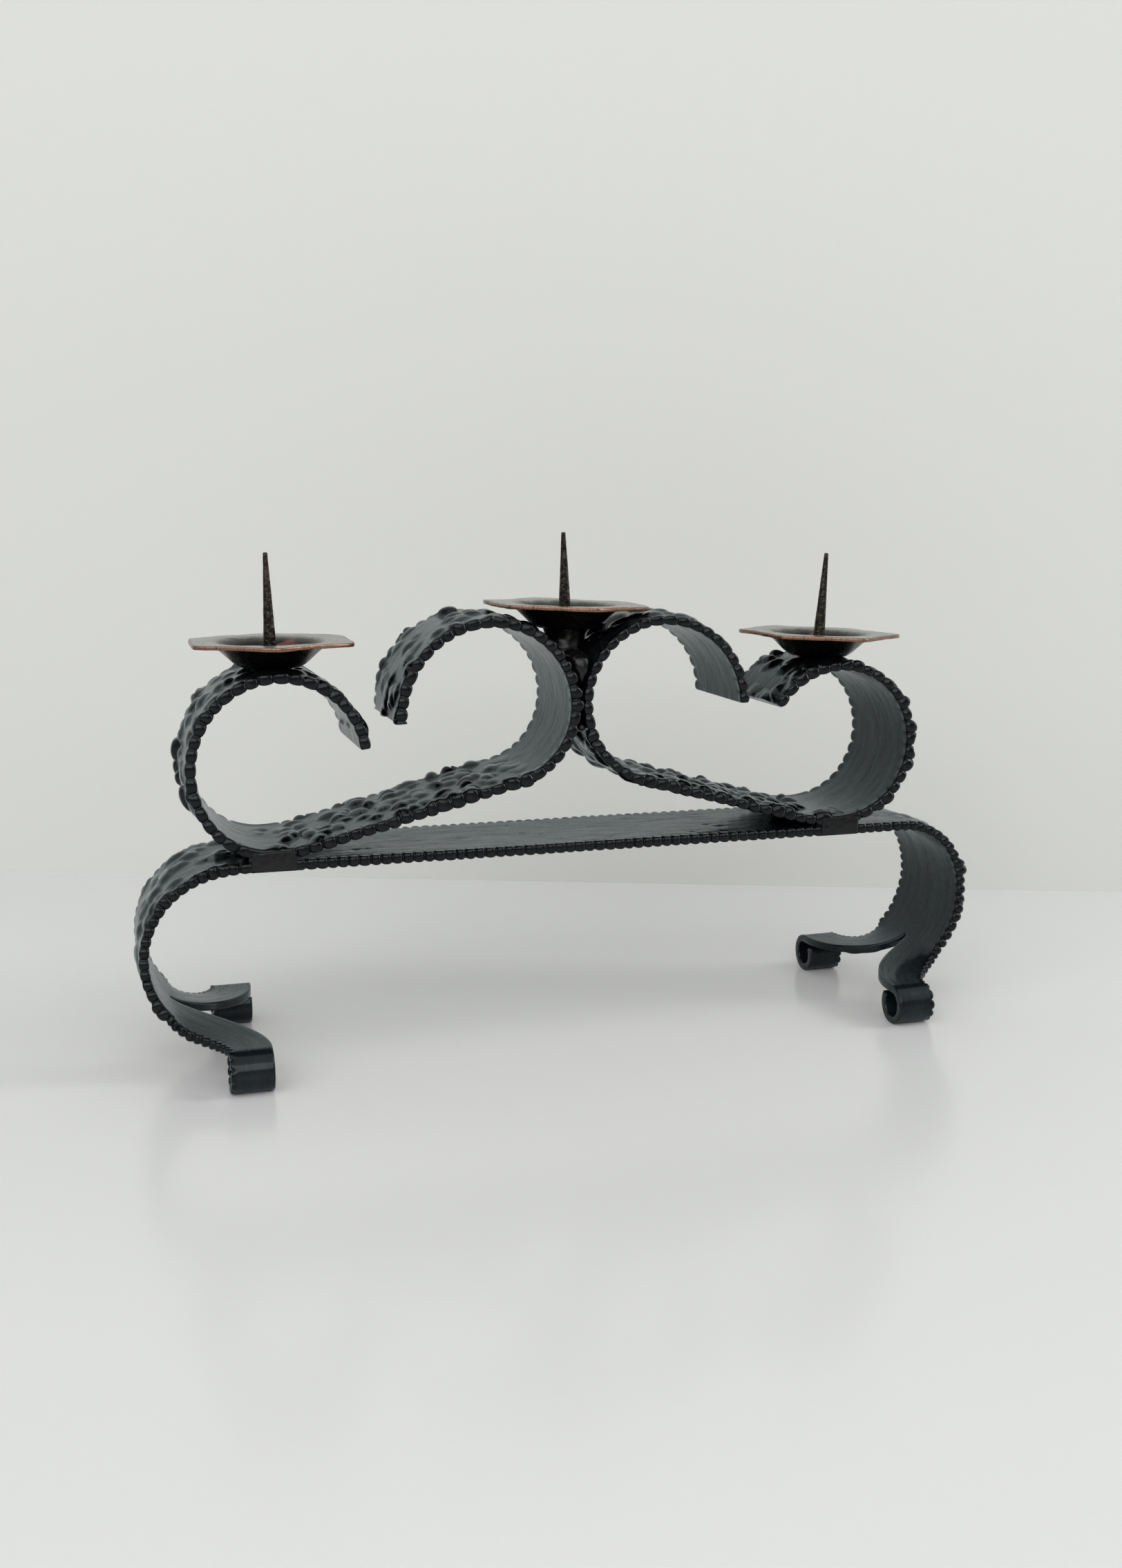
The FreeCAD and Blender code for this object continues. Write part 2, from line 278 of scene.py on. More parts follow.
@dataclass(frozen=True)
class SpikeIron:
    """Forged spike of bare iron, browned and rubbed by candles.

    It is nearly black, with a fine hammered skin that breaks the highlight into bright specks.
    """

    name: str = "browned_spike_iron"
    dark: str = "#1d1b1a"
    rubbed: str = "#4d463c"
    pit: float = 0.9

    def material(self) -> bpy.types.Material:
        """Builds the material on object coordinates.

        Returns:
            The material.
        """
        material, add = start_material(self.name)
        coords = add("TexCoord").outputs["Object"]
        cloud = add("TexNoise", {0: coords, "Scale": 1 / (1.6 * MM), "Detail": 5.0})
        cells = add("TexVoronoi", {0: coords, "Scale": 1 / (self.pit * MM)})
        shades = ((0.42, self.dark), (0.72, self.rubbed))
        colour = add("ValToRGB", {0: cloud}, stops=shades)
        rough = add("MapRange", {0: cells, 1: 0.0, 2: 0.8, 3: 0.20, 4: 0.42})
        both = add("Math", {0: cloud, 1: 0.7, 2: cells}, operation="MULTIPLY_ADD")
        bump = add("Bump", {"Height": both, "Strength": 0.5, "Distance": 0.25 * MM})
        shader = add(
            "BsdfPrincipled",
            {
                "Base Color": colour,
                "Roughness": rough,
                "Normal": bump,
                "Metallic": 0.85,
            },
        )
        add("OutputMaterial", {"Surface": shader})
        return material


@dataclass(frozen=True)
class WeldMetal:
    """Weld metal, blackened with the straps.

    It is smooth and glossy black, with brown heat tint where the scale has burnt off.
    """

    name: str = "blackened_weld_metal"
    black: str = "#0d0e0f"
    tint: str = "#2e201a"

    def material(self) -> bpy.types.Material:
        """Builds the material on object coordinates.

        Returns:
            The material.
        """
        material, add = start_material(self.name)
        coords = add("TexCoord").outputs["Object"]
        cloud = add("TexNoise", {0: coords, "Scale": 1 / (6 * MM), "Detail": 4.0})
        spatter = add("TexNoise", {0: coords, "Scale": 1 / (1.4 * MM), "Detail": 3.0})
        shades = ((0.60, self.black), (0.80, self.tint))
        colour = add("ValToRGB", {0: cloud}, stops=shades)
        rough = add("MapRange", {0: spatter, 1: 0.3, 2: 0.7, 3: 0.18, 4: 0.40})
        bump = add("Bump", {"Height": spatter, "Strength": 0.2, "Distance": 0.3 * MM})
        shader = add(
            "BsdfPrincipled",
            {
                "Base Color": colour,
                "Roughness": rough,
                "Normal": bump,
                "Metallic": 0.4,
            },
        )
        add("OutputMaterial", {"Surface": shader})
        return material


@dataclass(frozen=True)
class Paint:
    """Even paint of the floor or the wall, with a very faint mottle."""

    name: str
    colour: str
    roughness: float

    def material(self) -> bpy.types.Material:
        """Builds the material on object coordinates.

        Returns:
            The material.
        """
        material, add = start_material(self.name)
        coords = add("TexCoord").outputs["Object"]
        mottle = add("TexNoise", {0: coords, "Scale": 3.0, "Detail": 2.0})
        rough = add("MapRange", {0: mottle, 3: self.roughness * 0.9, 4: self.roughness * 1.1}
        )
        shader = add(
            "BsdfPrincipled",
            {
                "Roughness": rough,
                "Base Color": linear(self.colour),
            },
        )
        add("OutputMaterial", {"Surface": shader})
        return material


# ---------------------------------------------------------------- mesh helpers


def publish(
    mesh_in_mm: bmesh.types.BMesh,
    name: str,
    finish: bpy.types.Material,
    slot: Slot,
    nodes: tuple[str, ...],
    marks: dict[str, np.ndarray] | None = None,
) -> None:
    """Turns a finished bmesh into a piece of the object.

    Args:
        mesh_in_mm: The mesh, in millimetres, in its place.
        name: Name of the piece.
        finish: Its material.
        slot: Kind of material, which gives the suffix of the piece's name.
        nodes: CAD nodes that the piece stands for.
        marks: Attributes for the material, one row per vertex.
    """
    bmesh.ops.recalc_face_normals(mesh_in_mm, faces=mesh_in_mm.faces)
    if mesh_in_mm.calc_volume(signed=True) < 0:
        bmesh.ops.reverse_faces(mesh_in_mm, faces=mesh_in_mm.faces)
    bmesh.ops.scale(mesh_in_mm, vec=(MM, MM, MM), verts=mesh_in_mm.verts)
    name = name + "_" + WORK[slot]
    mesh = bpy.data.meshes.new(name)
    mesh_in_mm.to_mesh(mesh)
    mesh_in_mm.free()
    mesh.polygons.foreach_set("use_smooth", [True] * len(mesh.polygons))
    for label, values in (marks or {}).items():
        kind = "FLOAT_VECTOR" if values.ndim == 2 else "FLOAT"
        attribute = mesh.attributes.new(label, kind, "POINT")
        attribute.data.foreach_set("vector" if values.ndim == 2 else "value", values.astype(np.float32).ravel())
    mesh.materials.append(finish)
    piece = bpy.data.objects.new(name, mesh)
    bpy.context.scene.collection.objects.link(piece)
    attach(piece, BODY)
    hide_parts(*nodes)
    LOG.info("%s: %d faces", name, len(mesh.polygons))


def coordinates(bm: bmesh.types.BMesh) -> np.ndarray:
    """All vertex places of a bmesh, one row each."""
    return np.array([v.co for v in bm.verts], dtype=float)


def place_vertices(bm: bmesh.types.BMesh, rows: np.ndarray) -> None:
    """Moves the vertices of a bmesh to the given rows.

    Args:
        bm: The mesh.
        rows: New places, in the order of its vertices.
    """
    for vertex, row in zip(bm.verts, rows):
        vertex.co = row


def join(whole: bmesh.types.BMesh, part: bmesh.types.BMesh) -> None:
    """Adds a finished part to a larger mesh and frees it.

    Args:
        whole: Mesh that takes the part in.
        part: Closed mesh in its place.
    """
    bmesh.ops.recalc_face_normals(part, faces=part.faces)
    carrier = bpy.data.meshes.new("part")
    part.to_mesh(carrier)
    part.free()
    whole.from_mesh(carrier)
    bpy.data.meshes.remove(carrier)


def roughness_field(rows: np.ndarray, size: tuple[float, float, float], seed: float) -> np.ndarray:
    """Smooth noise sampled at each row.

    Args:
        rows: Places, in millimetres.
        size: Size of the noise's cells along each axis, in millimetres.
        seed: Moves the sample away from other uses of the same noise.

    Returns:
        Values of about -1 to 1.
    """
    scaled = rows / np.array(size) + seed
    return np.array([noise.noise(Vector(row)) for row in scaled])


# ---------------------------------------------------------------- straps


@dataclass
class CentreLine:
    """Middle line of a strap, seen from the front, made of straights and tangent arcs.

    A move is (radius, signed degrees), or (length, 0) for a straight.
    """

    heading: float
    moves: tuple[tuple[float, float], ...]
    start: tuple[float, float] = (0.0, 0.0)

    def lengths(self) -> list[float]:
        """Length of each move."""
        return [size if turn == 0 else size * math.radians(abs(turn)) for size, turn in self.moves]

    def length(self) -> float:
        """Length of the whole line."""
        return sum(self.lengths())

    def follow(self, along: np.ndarray) -> tuple[np.ndarray, np.ndarray, np.ndarray]:
        """Finds the place and heading at each distance along the line.

        Args:
            along: Distances from the first end, which may run past either end.

        Returns:
            x, z and heading in radians, one of each per distance.
        """
        x, z, heading = np.zeros_like(along), np.zeros_like(along), np.zeros_like(along)
        px, pz, direction, travelled = self.start[0], self.start[1], math.radians(self.heading), 0.0
        for index, ((size, turn), length) in enumerate(zip(self.moves, self.lengths())):
            low = -math.inf if index == 0 else travelled
            high = math.inf if index == len(self.moves) - 1 else travelled + length
            here = (along >= low) & (along < high)
            step = along[here] - travelled
            if turn == 0:
                x[here], z[here] = px + step * math.cos(direction), pz + step * math.sin(direction)
                heading[here] = direction
                px, pz = px + length * math.cos(direction), pz + length * math.sin(direction)
            else:
                side = math.copysign(math.pi / 2, turn)
                cx, cz = px + size * math.cos(direction + side), pz + size * math.sin(direction + side)
                angle = direction + math.copysign(1.0, turn) * step / size
                x[here], z[here] = cx + size * np.cos(angle - side), cz + size * np.sin(angle - side)
                heading[here] = angle
                direction += math.radians(turn)
                px, pz = cx + size * math.cos(direction - side), cz + size * math.sin(direction - side)
            travelled += length
        return x, z, heading

    def offset(self, along: np.ndarray, rise: np.ndarray) -> tuple[np.ndarray, np.ndarray]:
        """Place beside the line.

        Args:
            along: Distances from the first end.
            rise: Distances to the left of the line.

        Returns:
            x and z.
        """
        x, z, heading = self.follow(along)
        return x - np.sin(heading) * rise, z + np.cos(heading) * rise


@dataclass(frozen=True)
class EdgeHammering:
    """Row of pillow-shaped beads that a cross-peen hammer leaves along a strap's edge."""

    pitch: float
    depth: float
    swell: float = 0.23  # share of the thickness that the edge is upset by
    pinch: float = 0.36  # share of the thickness that a groove takes away
    reach: float = 2.6  # how far in from the edge a groove runs
    unevenness: float = 0.12
    flatness: float = 0.5  # the lower, the flatter the beads and the narrower the grooves
    gathering: float = 0.55

    def lay_out(self, low: float, high: float, rng: random.Random) -> tuple[np.ndarray, np.ndarray]:
        """Divides a strap into beads.

        Args:
            low: Distance at which the beads start.
            high: Distance at which they end.
            rng: Source of the unevenness.

        Returns:
            Places of the grooves, and the depth of each bead's groove.
        """
        bounds, depths = [low - self.pitch], []
        while bounds[-1] < high + self.pitch:
            bounds.append(bounds[-1] + self.pitch * (1 + rng.uniform(-1, 1) * self.unevenness))
            depths.append(self.depth * (1 + rng.uniform(-1, 1) * 0.3))
        return np.array(bounds), np.array(depths)

    def groove(self, along: np.ndarray, bounds: np.ndarray, depths: np.ndarray, plain: tuple) -> np.ndarray:
        """Depth below the beads' crowns at each distance.

        Args:
            along: Distances along the strap.
            bounds: Places of the grooves.
            depths: Depth of each bead's groove.
            plain: First and last distance of each stretch without beads.

        Returns:
            Groove depths, from 0 on a crown.
        """
        index = np.clip(np.searchsorted(bounds, along, side="right") - 1, 0, len(depths) - 1)
        phase = (along - bounds[index]) / (bounds[index + 1] - bounds[index])
        lobe = np.clip(4 * phase * (1 - phase), 0, 1) ** self.flatness
        groove = depths[index] * (1 - lobe)
        for first, last in plain:
            inside = np.clip(np.minimum(along - first, last - along) / 1.5 + 0.5, 0, 1)
            groove = groove * (1 - inside)
        return groove

    def gather(self, along: np.ndarray, bounds: np.ndarray) -> np.ndarray:
        """Shifts the rings of a strap towards the grooves, where the shape is tightest.

        Args:
            along: Even distances along the strap.
            bounds: Places of the grooves.

        Returns:
            The shifted distances.
        """
        index = np.clip(np.searchsorted(bounds, along, side="right") - 1, 0, len(bounds) - 2)
        step = bounds[index + 1] - bounds[index]
        return along - self.gathering * step / math.tau * np.sin(math.tau * (along - bounds[index]) / step)


@dataclass(frozen=True)
class Bark:
    """Puddled relief of overlapping, leaf-shaped lumps that run along a strap."""

    cover: float = 0.95  # area of the lumps over the area of the face
    length: tuple[float, float] = (6.5, 10.5)
    width: tuple[float, float] = (6.5, 11.5)
    rise: tuple[float, float] = (1.0, 2.3)
    ropes: float = 0.06  # height of the lengthwise ridges between the lumps

    def raise_lumps(
        self,
        along: np.ndarray,
        across: np.ndarray,
        span: tuple[float, float],
        half_width: float,
        rng: random.Random,
    ) -> np.ndarray:
        """Height of the relief over one stretch of a face.

        Args:
            along: Distance along the strap of each point.
            across: Distance across it of each point.
            span: First and last distance of the stretch.
            half_width: Half of the strap's width.
            rng: Source of the lumps.

        Returns:
            Heights, 0 away from the stretch.
        """
        height = np.zeros_like(along)
        order = np.argsort(along, kind="stable")
        ordered = along[order]
        area = (span[1] - span[0]) * 2 * half_width
        mean = math.pi / 4 * sum(self.length) / 2 * sum(self.width) / 2
        for _ in range(int(area * self.cover / mean)):
            centre_s, centre_v = rng.uniform(*span), rng.uniform(-half_width, half_width)
            length, width, rise = rng.uniform(*self.length), rng.uniform(*self.width), rng.uniform(*self.rise)
            slant, skew = math.radians(rng.gauss(0, 14)), rng.uniform(-0.5, 0.5)
            low, high = np.searchsorted(ordered, (centre_s - length * 0.7, centre_s + length * 0.7))
            near = order[low:high]
            ds, dv = along[near] - centre_s, across[near] - centre_v
            a = (ds * math.cos(slant) + dv * math.sin(slant)) / (length / 2)
            b = (dv * math.cos(slant) - ds * math.sin(slant)) / (width / 2) + skew * a * a
            dome = rise * np.clip(1 - a * a - b * b * (1 + 0.5 * np.clip(a, -1, 1)), 0, None) ** 0.7
            height[near] = np.maximum(height[near], dome)
        return height


@dataclass
class ForgedStrap:
    """Flat strap that is hammered along its edges, puddled on its faces and bent to a line."""

    name: str
    line: CentreLine
    width: float = 50.0
    thickness: float = 3.6
    ring_spacing: float = 0.6
    columns: int = 64
    layers: int = 4
    seed: int = 1
    hammering: EdgeHammering = EdgeHammering(5.3, 1.5)
    plain: tuple[tuple[float, float], ...] = ()
    edge_radius: float = 1.5
    edge_roundness: float = 0.3
    crowding: float = 0.6  # how much closer the columns are near the edges

    def blank(self) -> bmesh.types.BMesh:
        """Straight strap, cut into rings and columns, its first end at the origin.

        Returns:
            The mesh, closed, along X, with its width along Y and its thickness along Z.
        """
        length = self.line.length()
        bm = bmesh.new()
        bmesh.ops.create_cube(bm, size=1.0)
        bmesh.ops.translate(bm, vec=(0.5, 0, 0), verts=bm.verts)
        bmesh.ops.scale(bm, vec=(length, self.width, self.thickness), verts=bm.verts)
        cuts = (int(length / self.ring_spacing), self.columns - 1, self.layers - 1)
        for axis, count in enumerate(cuts):
            edges = [e for e in bm.edges if abs((e.verts[1].co - e.verts[0].co).normalized()[axis]) > 0.99]
            bmesh.ops.subdivide_edges(bm, edges=edges, cuts=count, use_grid_fill=True)
        return bm

    def crowd(self, across: np.ndarray) -> np.ndarray:
        """Moves evenly spaced columns closer together near the edges.

        Args:
            across: Even distances across the strap.

        Returns:
            The crowded distances.
        """
        half = self.width / 2
        limit = math.pi / 2 * self.crowding
        return half * np.sin(across / half * limit) / math.sin(limit)

    def hammer(self, flat: np.ndarray, beads: tuple[np.ndarray, np.ndarray]) -> np.ndarray:
        """Rounds the edges, hammers the beads and swells the thickness beside them.

        Args:
            flat: Vertices of the flat strap.
            beads: Places and depths of the grooves.

        Returns:
            The hammered vertices.
        """
        half_width, half_depth = self.width / 2, self.thickness / 2
        along, across, depth = flat[:, 0], flat[:, 1].copy(), flat[:, 2].copy()
        inward = half_width - np.abs(across)
        x = np.clip(1 - inward / self.edge_radius, 0, 1)
        y = depth / half_depth
        rounding = self.edge_radius * x * (1 - np.sqrt(1 - self.edge_roundness * y * y))
        across = np.sign(across) * (np.abs(across) - rounding)
        depth = depth * np.sqrt(1 - self.edge_roundness * x * x)
        groove = self.hammering.groove(along, *beads, self.plain)
        fade = np.exp(-((inward / self.hammering.reach) ** 2))
        share = groove / self.hammering.depth
        across -= np.sign(across) * groove * fade
        depth *= 1 + fade * (self.hammering.swell * (1 - share) - self.hammering.pinch * share)
        edge = np.column_stack([along, np.sign(across) * 40, 0 * along])
        wander = roughness_field(edge, (45, 1, 1), self.seed + 0.37)
        across += np.sign(across) * wander * 0.5 * np.clip(np.abs(across) / half_width, 0, 1)
        return np.column_stack([along, across, depth])

    def relief(self, flat: np.ndarray, rng: random.Random) -> tuple[np.ndarray, np.ndarray]:
        """Heights of the relief on the left face and on the right face of the line.

        Args:
            flat: Vertices of the flat strap.
            rng: Not used.

        Returns:
            Heights on the left face and on the right face, in millimetres.
        """
        calm = 0.10 * roughness_field(flat, (9, 5, 3), self.seed + 0.11)
        return calm, calm

    def skin(self, flat: np.ndarray, along: np.ndarray, across: np.ndarray) -> tuple[np.ndarray, np.ndarray]:
        """Lengthwise ropes and fine grain of a puddled face.

        Args:
            flat: Vertices of the flat strap.
            along: Warped distance along the strap of each vertex.
            across: Warped distance across it of each vertex.

        Returns:
            Ropes of about -1 to 1, and grain of the same size.
        """
        folds = np.abs(roughness_field(np.column_stack([along, across, 0 * along]), (15, 3.0, 1), self.seed + 3.3))
        return 1 - 2.2 * folds, roughness_field(flat, (1.8, 1.4, 1), self.seed + 5.1)

    def bend(self, flat: np.ndarray) -> np.ndarray:
        """Bends the flat strap to its line.

        Args:
            flat: Vertices of the flat strap.

        Returns:
            Vertices in their places.
        """
        x, z = self.line.offset(flat[:, 0], flat[:, 2])
        return np.column_stack([x, flat[:, 1], z])

    def forge(self, finish: bpy.types.Material) -> None:
        """Makes the strap.

        Args:
            finish: Its material.
        """
        rng = random.Random(self.seed)
        bm = self.blank()
        flat = coordinates(bm)
        inside = (flat[:, 0] >= -1e-6) & (flat[:, 0] <= self.line.length() + 1e-6)
        flat[:, 1] = np.where(inside, self.crowd(flat[:, 1]), flat[:, 1])
        beads = self.hammering.lay_out(float(flat[:, 0].min()), float(flat[:, 0].max()), rng)
        inland = np.minimum(np.abs(flat[:, 0]), np.abs(flat[:, 0] - self.line.length()))
        gathered = self.hammering.gather(flat[:, 0], beads[0])
        flat[:, 0] += (gathered - flat[:, 0]) * np.clip(inland / 3, 0, 1)
        left, right = self.relief(flat, rng)
        shaped = self.hammer(flat, beads)
        side = flat[:, 2] / (self.thickness / 2)
        shaped[:, 2] += left * np.clip(side, 0, 1) - right * np.clip(-side, 0, 1)
        place_vertices(bm, self.bend(shaped))
        height = np.where(side >= 0, left, right)
        # Near the edges the beads' crowns take the black lump colour and gloss, so the edges read darker than the
        # faces; the grooves between them keep the lighter hollow colour, painted highlights that stand for the
        # glints in the grooves.
        crown = 1 - 1.4 * self.hammering.groove(flat[:, 0], *beads, self.plain) / self.hammering.depth
        rim = 0.95 * crown * np.exp(-(((self.width / 2 - np.abs(flat[:, 1])) / 1.6) ** 2))
        marks = {"run": flat * MM, "relief": np.maximum(np.clip(height / 1.9, -0.3, 1), rim)}
        publish(bm, self.name, finish, Slot.STRAP, (self.name,), marks)


@dataclass
class ScrollStrap(ForgedStrap):
    """Scroll: an outer loop, a foot welded to the base, a diagonal and an inner loop."""

    sense: Sense = Sense.ANTICLOCKWISE
    foot_at: float = 0.0
    loop_ends: tuple[float, float] = (0.0, 0.0)
    blobs: tuple[tuple[float, float, float, float, float], ...] = ()
    drops: tuple[tuple[float, float, float, float, float], ...] = ()

    @classmethod
    def between(
        cls,
        name: str,
        sense: Sense,
        outer: tuple[tuple[float, float], ...],
        bend: tuple[float, float],
        inner: tuple[tuple[float, float], ...],
        seed: int,
        blobs: tuple = (),
        drops: tuple = (),
    ) -> "ScrollStrap":
        """Lays out a scroll so that it fills its CAD node's box.

        Args:
            name: Name of the CAD node and of the piece.
            sense: Which way the strap curls from its outer end.
            outer: Arcs of the outer loop, from the foot outwards.
            bend: Arc that lifts the foot into the diagonal.
            inner: Arcs of the inner loop, from the diagonal on.
            seed: Seed of its unevenness.
            blobs: Single lumps on the outer face: distance, across, length, width and height.
            drops: The same for the inner face.

        Returns:
            The scroll.
        """
        turn = sense.value
        half = cls.thickness / 2
        low, high = (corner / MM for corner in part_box(name))
        outer_moves = tuple((radius, turn * degrees) for radius, degrees in reversed(outer))
        inner_moves = tuple((radius, turn * degrees) for radius, degrees in inner)
        swept = sum(degrees for _, degrees in outer)
        heading = (0.0 if turn > 0 else 180.0) - turn * swept

        def built(diagonal: float) -> tuple[CentreLine, np.ndarray, np.ndarray]:
            """The line with a diagonal of that length, and its outer face."""
            line = CentreLine(heading, outer_moves + ((bend[0], turn * bend[1]), (diagonal, 0.0)) + inner_moves)
            along = np.linspace(0, line.length(), LINE_SAMPLES)
            return line, *line.offset(along, np.full(LINE_SAMPLES, -turn * half))

        _, x, _ = built(1.0)
        missing = (high.x - low.x) - (x.max() - x.min())
        diagonal = 1.0 + missing / math.cos(math.radians(bend[1]))
        line, x, z = built(diagonal)
        line.start = (low.x - x.min(), high.z - z.max())
        foot = sum(line.lengths()[: len(outer)])
        ends = (foot, foot + sum(line.lengths()[len(outer) : len(outer) + 2]))
        weld = 9.5
        return cls(
            name=name,
            line=line,
            seed=seed,
            plain=((foot - weld, foot + weld * 0.8),),
            sense=sense,
            foot_at=foot,
            loop_ends=ends,
            blobs=blobs,
            drops=drops,
        )

    def relief(self, flat: np.ndarray, rng: random.Random) -> tuple[np.ndarray, np.ndarray]:
        """Bark on the loops' outer faces and on the diagonal's top, calm faces elsewhere.

        Args:
            flat: Vertices of the flat strap.
            rng: Source of the relief.

        Returns:
            Heights on the left face and on the right face.
        """
        along, across = flat[:, 0], flat[:, 1]
        half, length = self.width / 2, self.line.length()
        bark = Bark()
        first, last = self.loop_ends
        warp = roughness_field(flat, (12, 8, 5), self.seed + 0.5)
        drift = roughness_field(flat, (12, 7, 5), self.seed + 7.5)
        s, v = along + 1.0 * warp, across + 0.9 * drift
        ropes, fine = self.skin(flat, s, v)
        lumps = bark.raise_lumps(s, v, (0, length), half, rng)
        outer = np.maximum(lumps * 0.85, 0) + bark.ropes * ropes + 0.05 * fine - 0.35
        for distance, place, blob_length, blob_width, blob_height in self.blobs:
            a, b = (along - distance) / (blob_length / 2), (across - place) / (blob_width / 2)
            b = b * (1 + 0.45 * np.clip(a, -1, 1))
            outer = np.maximum(outer, blob_height * np.sqrt(np.clip(1 - a * a - b * b, 0, None)) ** 0.8)
        top_lumps = bark.raise_lumps(s, v, (first - 4, last + 16), half, rng)
        ease = np.clip((along - (first - 6)) / 10, 0, 1) * np.clip((last + 14 - along) / 24, 0, 1)
        calm = 0.10 * roughness_field(flat, (12, 4, 3), self.seed + 0.11) + 0.03 * fine
        top = calm + ease * (top_lumps + bark.ropes * ropes * 0.8 - 0.25)
        for distance, place, drop_length, drop_width, drop_height in self.drops:
            a, b = (along - distance) / (drop_length / 2), (across - place) / (drop_width / 2)
            top = np.maximum(top, drop_height * np.sqrt(np.clip(1 - a * a - b * b, 0, None)))
        beneath = np.clip(np.minimum(along - (first - 8), last + 6 - along) / 8, 0, 1)
        outer = outer * (1 - 0.75 * beneath)
        return (top, outer) if self.sense is Sense.ANTICLOCKWISE else (outer, top)


@dataclass
class BaseStrap(ForgedStrap):
    """Base: a level run, a leg curling down at each end, and four feet ending in rolls."""

    slit: float = 1.2
    foot_reach: float = 39.5
    foot_width: float = 16.5
    roll_radius: float = 8.4
    roll_turn: float = 305.0
    roll_thickness: float = 3.0
    flat_depth: float = 0.35
    start_pull: float = 12.0
    end_pull: float = 16.0
    prong_rings: int = 104
    slit_gap: float = 0.3
    prong_length: float = 82.0
    insets: dict = field(default_factory=lambda: {-1: (27.7, 27.7), 1: (22.2, 24.2)})
    run_ends: tuple[float, float] = (0.0, 0.0)

    @classmethod
    def from_box(cls, name: str, scrolls: tuple[ScrollStrap, ...]) -> "BaseStrap":
        """Lays out the base so that it fills its CAD node's box.

        Args:
            name: Name of the CAD node and of the piece.
            scrolls: The scrolls that are welded on it.

        Returns:
            The base strap.
        """
        half = cls.thickness / 2
        left_leg = ((32.5, -56.0), (33.0, -65.0), (75.0, -12.0))
        right_leg = ((27.5, -70.0), (37.0, -54.0), (43.0, -9.0))
        low, high = (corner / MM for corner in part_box(name))

        def built(run: float) -> tuple[CentreLine, np.ndarray, np.ndarray]:
            """The line with a level run of that length, and its outer face."""
            line = CentreLine(133.0, left_leg + ((run, 0.0),) + right_leg)
            along = np.linspace(0, line.length(), LINE_SAMPLES)
            return line, *line.offset(along, np.full(LINE_SAMPLES, half))

        _, x, _ = built(1.0)
        line, x, z = built(1.0 + (high.x - low.x) - (x.max() - x.min()))
        line.start = (low.x - x.min(), high.z - z.max())
        legs = sum(line.lengths()[:3])
        run_start = line.follow(np.array([legs]))[0][0]
        welds, weld = [], 9.0
        for scroll in scrolls:
            foot_x = scroll.line.follow(np.array([scroll.foot_at]))[0][0]
            at = legs + foot_x - run_start
            welds.append((at - weld, at + weld))
        return cls(
            name=name,
            line=line,
            seed=11,
            ring_spacing=0.5,
            columns=39,  # the middle one ends at the root of the slit
            crowding=0.7,
            hammering=EdgeHammering(4.15, 1.5, swell=0.22, pinch=0.40, reach=1.6, unevenness=0.09),
            plain=tuple(welds),
            run_ends=(legs, legs + line.lengths()[3]),
        )

    def blank(self) -> bmesh.types.BMesh:
        """Straight strap whose two ends are each drawn out into a front and a back prong.

        Returns:
            The mesh, closed; the prongs lie beyond the line's two ends.
        """
        bm = super().blank()
        length = self.line.length()
        for end, direction in ((0.0, -1), (length, 1)):
            for front in (-1, 1):
                faces = [
                    f
                    for f in bm.faces
                    if all(abs(v.co.x - end) < 1e-4 for v in f.verts)
                    and f.calc_center_median().y * front > self.slit / 4
                ]
                drawn = bmesh.ops.extrude_face_region(bm, geom=faces)
                tips = [g for g in drawn["geom"] if isinstance(g, bmesh.types.BMVert)]
                bmesh.ops.delete(bm, geom=faces, context="FACES")
                reach = (direction * self.prong_length, front * self.slit_gap, 0)
                bmesh.ops.translate(bm, vec=reach, verts=tips)
        long_edges = [e for e in bm.edges if abs(e.verts[1].co.x - e.verts[0].co.x) > self.prong_length / 2]
        bmesh.ops.subdivide_edges(bm, edges=long_edges, cuts=self.prong_rings, use_grid_fill=True)
        return bm

    def relief(self, flat: np.ndarray, rng: random.Random) -> tuple[np.ndarray, np.ndarray]:
        """Bark on the legs' outer faces, a dished, brushed and pitted top on the run.

        Args:
            flat: Vertices of the flat strap.
            rng: Source of the relief.

        Returns:
            Heights on the upper face and on the lower face.
        """
        along, across = flat[:, 0], flat[:, 1]
        half, length = self.width / 2, self.line.length()
        first, last = self.run_ends
        bark = Bark(cover=0.7, rise=(0.6, 1.6))
        warp = roughness_field(flat, (12, 8, 5), self.seed + 0.5)
        s, v = along + 1.0 * warp, across - 0.9 * warp
        ropes, fine = self.skin(flat, s, v)
        lumps = bark.raise_lumps(s, v, (-25, first + 12), half, rng)
        lumps = np.maximum(lumps, bark.raise_lumps(s, v, (last - 8, length + 25), half, rng))
        on_leg = np.clip(np.maximum(first + 8 - along, along - (last - 4)) / 14, 0, 1)
        on_prong = np.clip(np.maximum(-along, along - length) / 40, 0, 1)
        calm = 0.08 * roughness_field(flat, (20, 3, 3), self.seed + 0.11) + 0.03 * fine
        dish = -0.25 * np.clip(1 - (across / (half * 0.8)) ** 2, 0, 1)
        pits = np.zeros_like(along)
        for _ in range(34):
            centre, place = rng.uniform(first, last), rng.uniform(-half * 0.8, half * 0.8)
            a, b = (along - centre) / rng.uniform(1.5, 5.0), (across - place) / rng.uniform(0.5, 1.1)
            pits = np.minimum(pits, -0.35 * np.clip(1 - a * a - b * b, 0, None))
        leg = lumps + bark.ropes * ropes * 0.7 - 0.25
        top = calm + (1 - on_leg) * (dish + pits) + on_leg * (1 - 0.8 * on_prong) * leg
        return top, calm

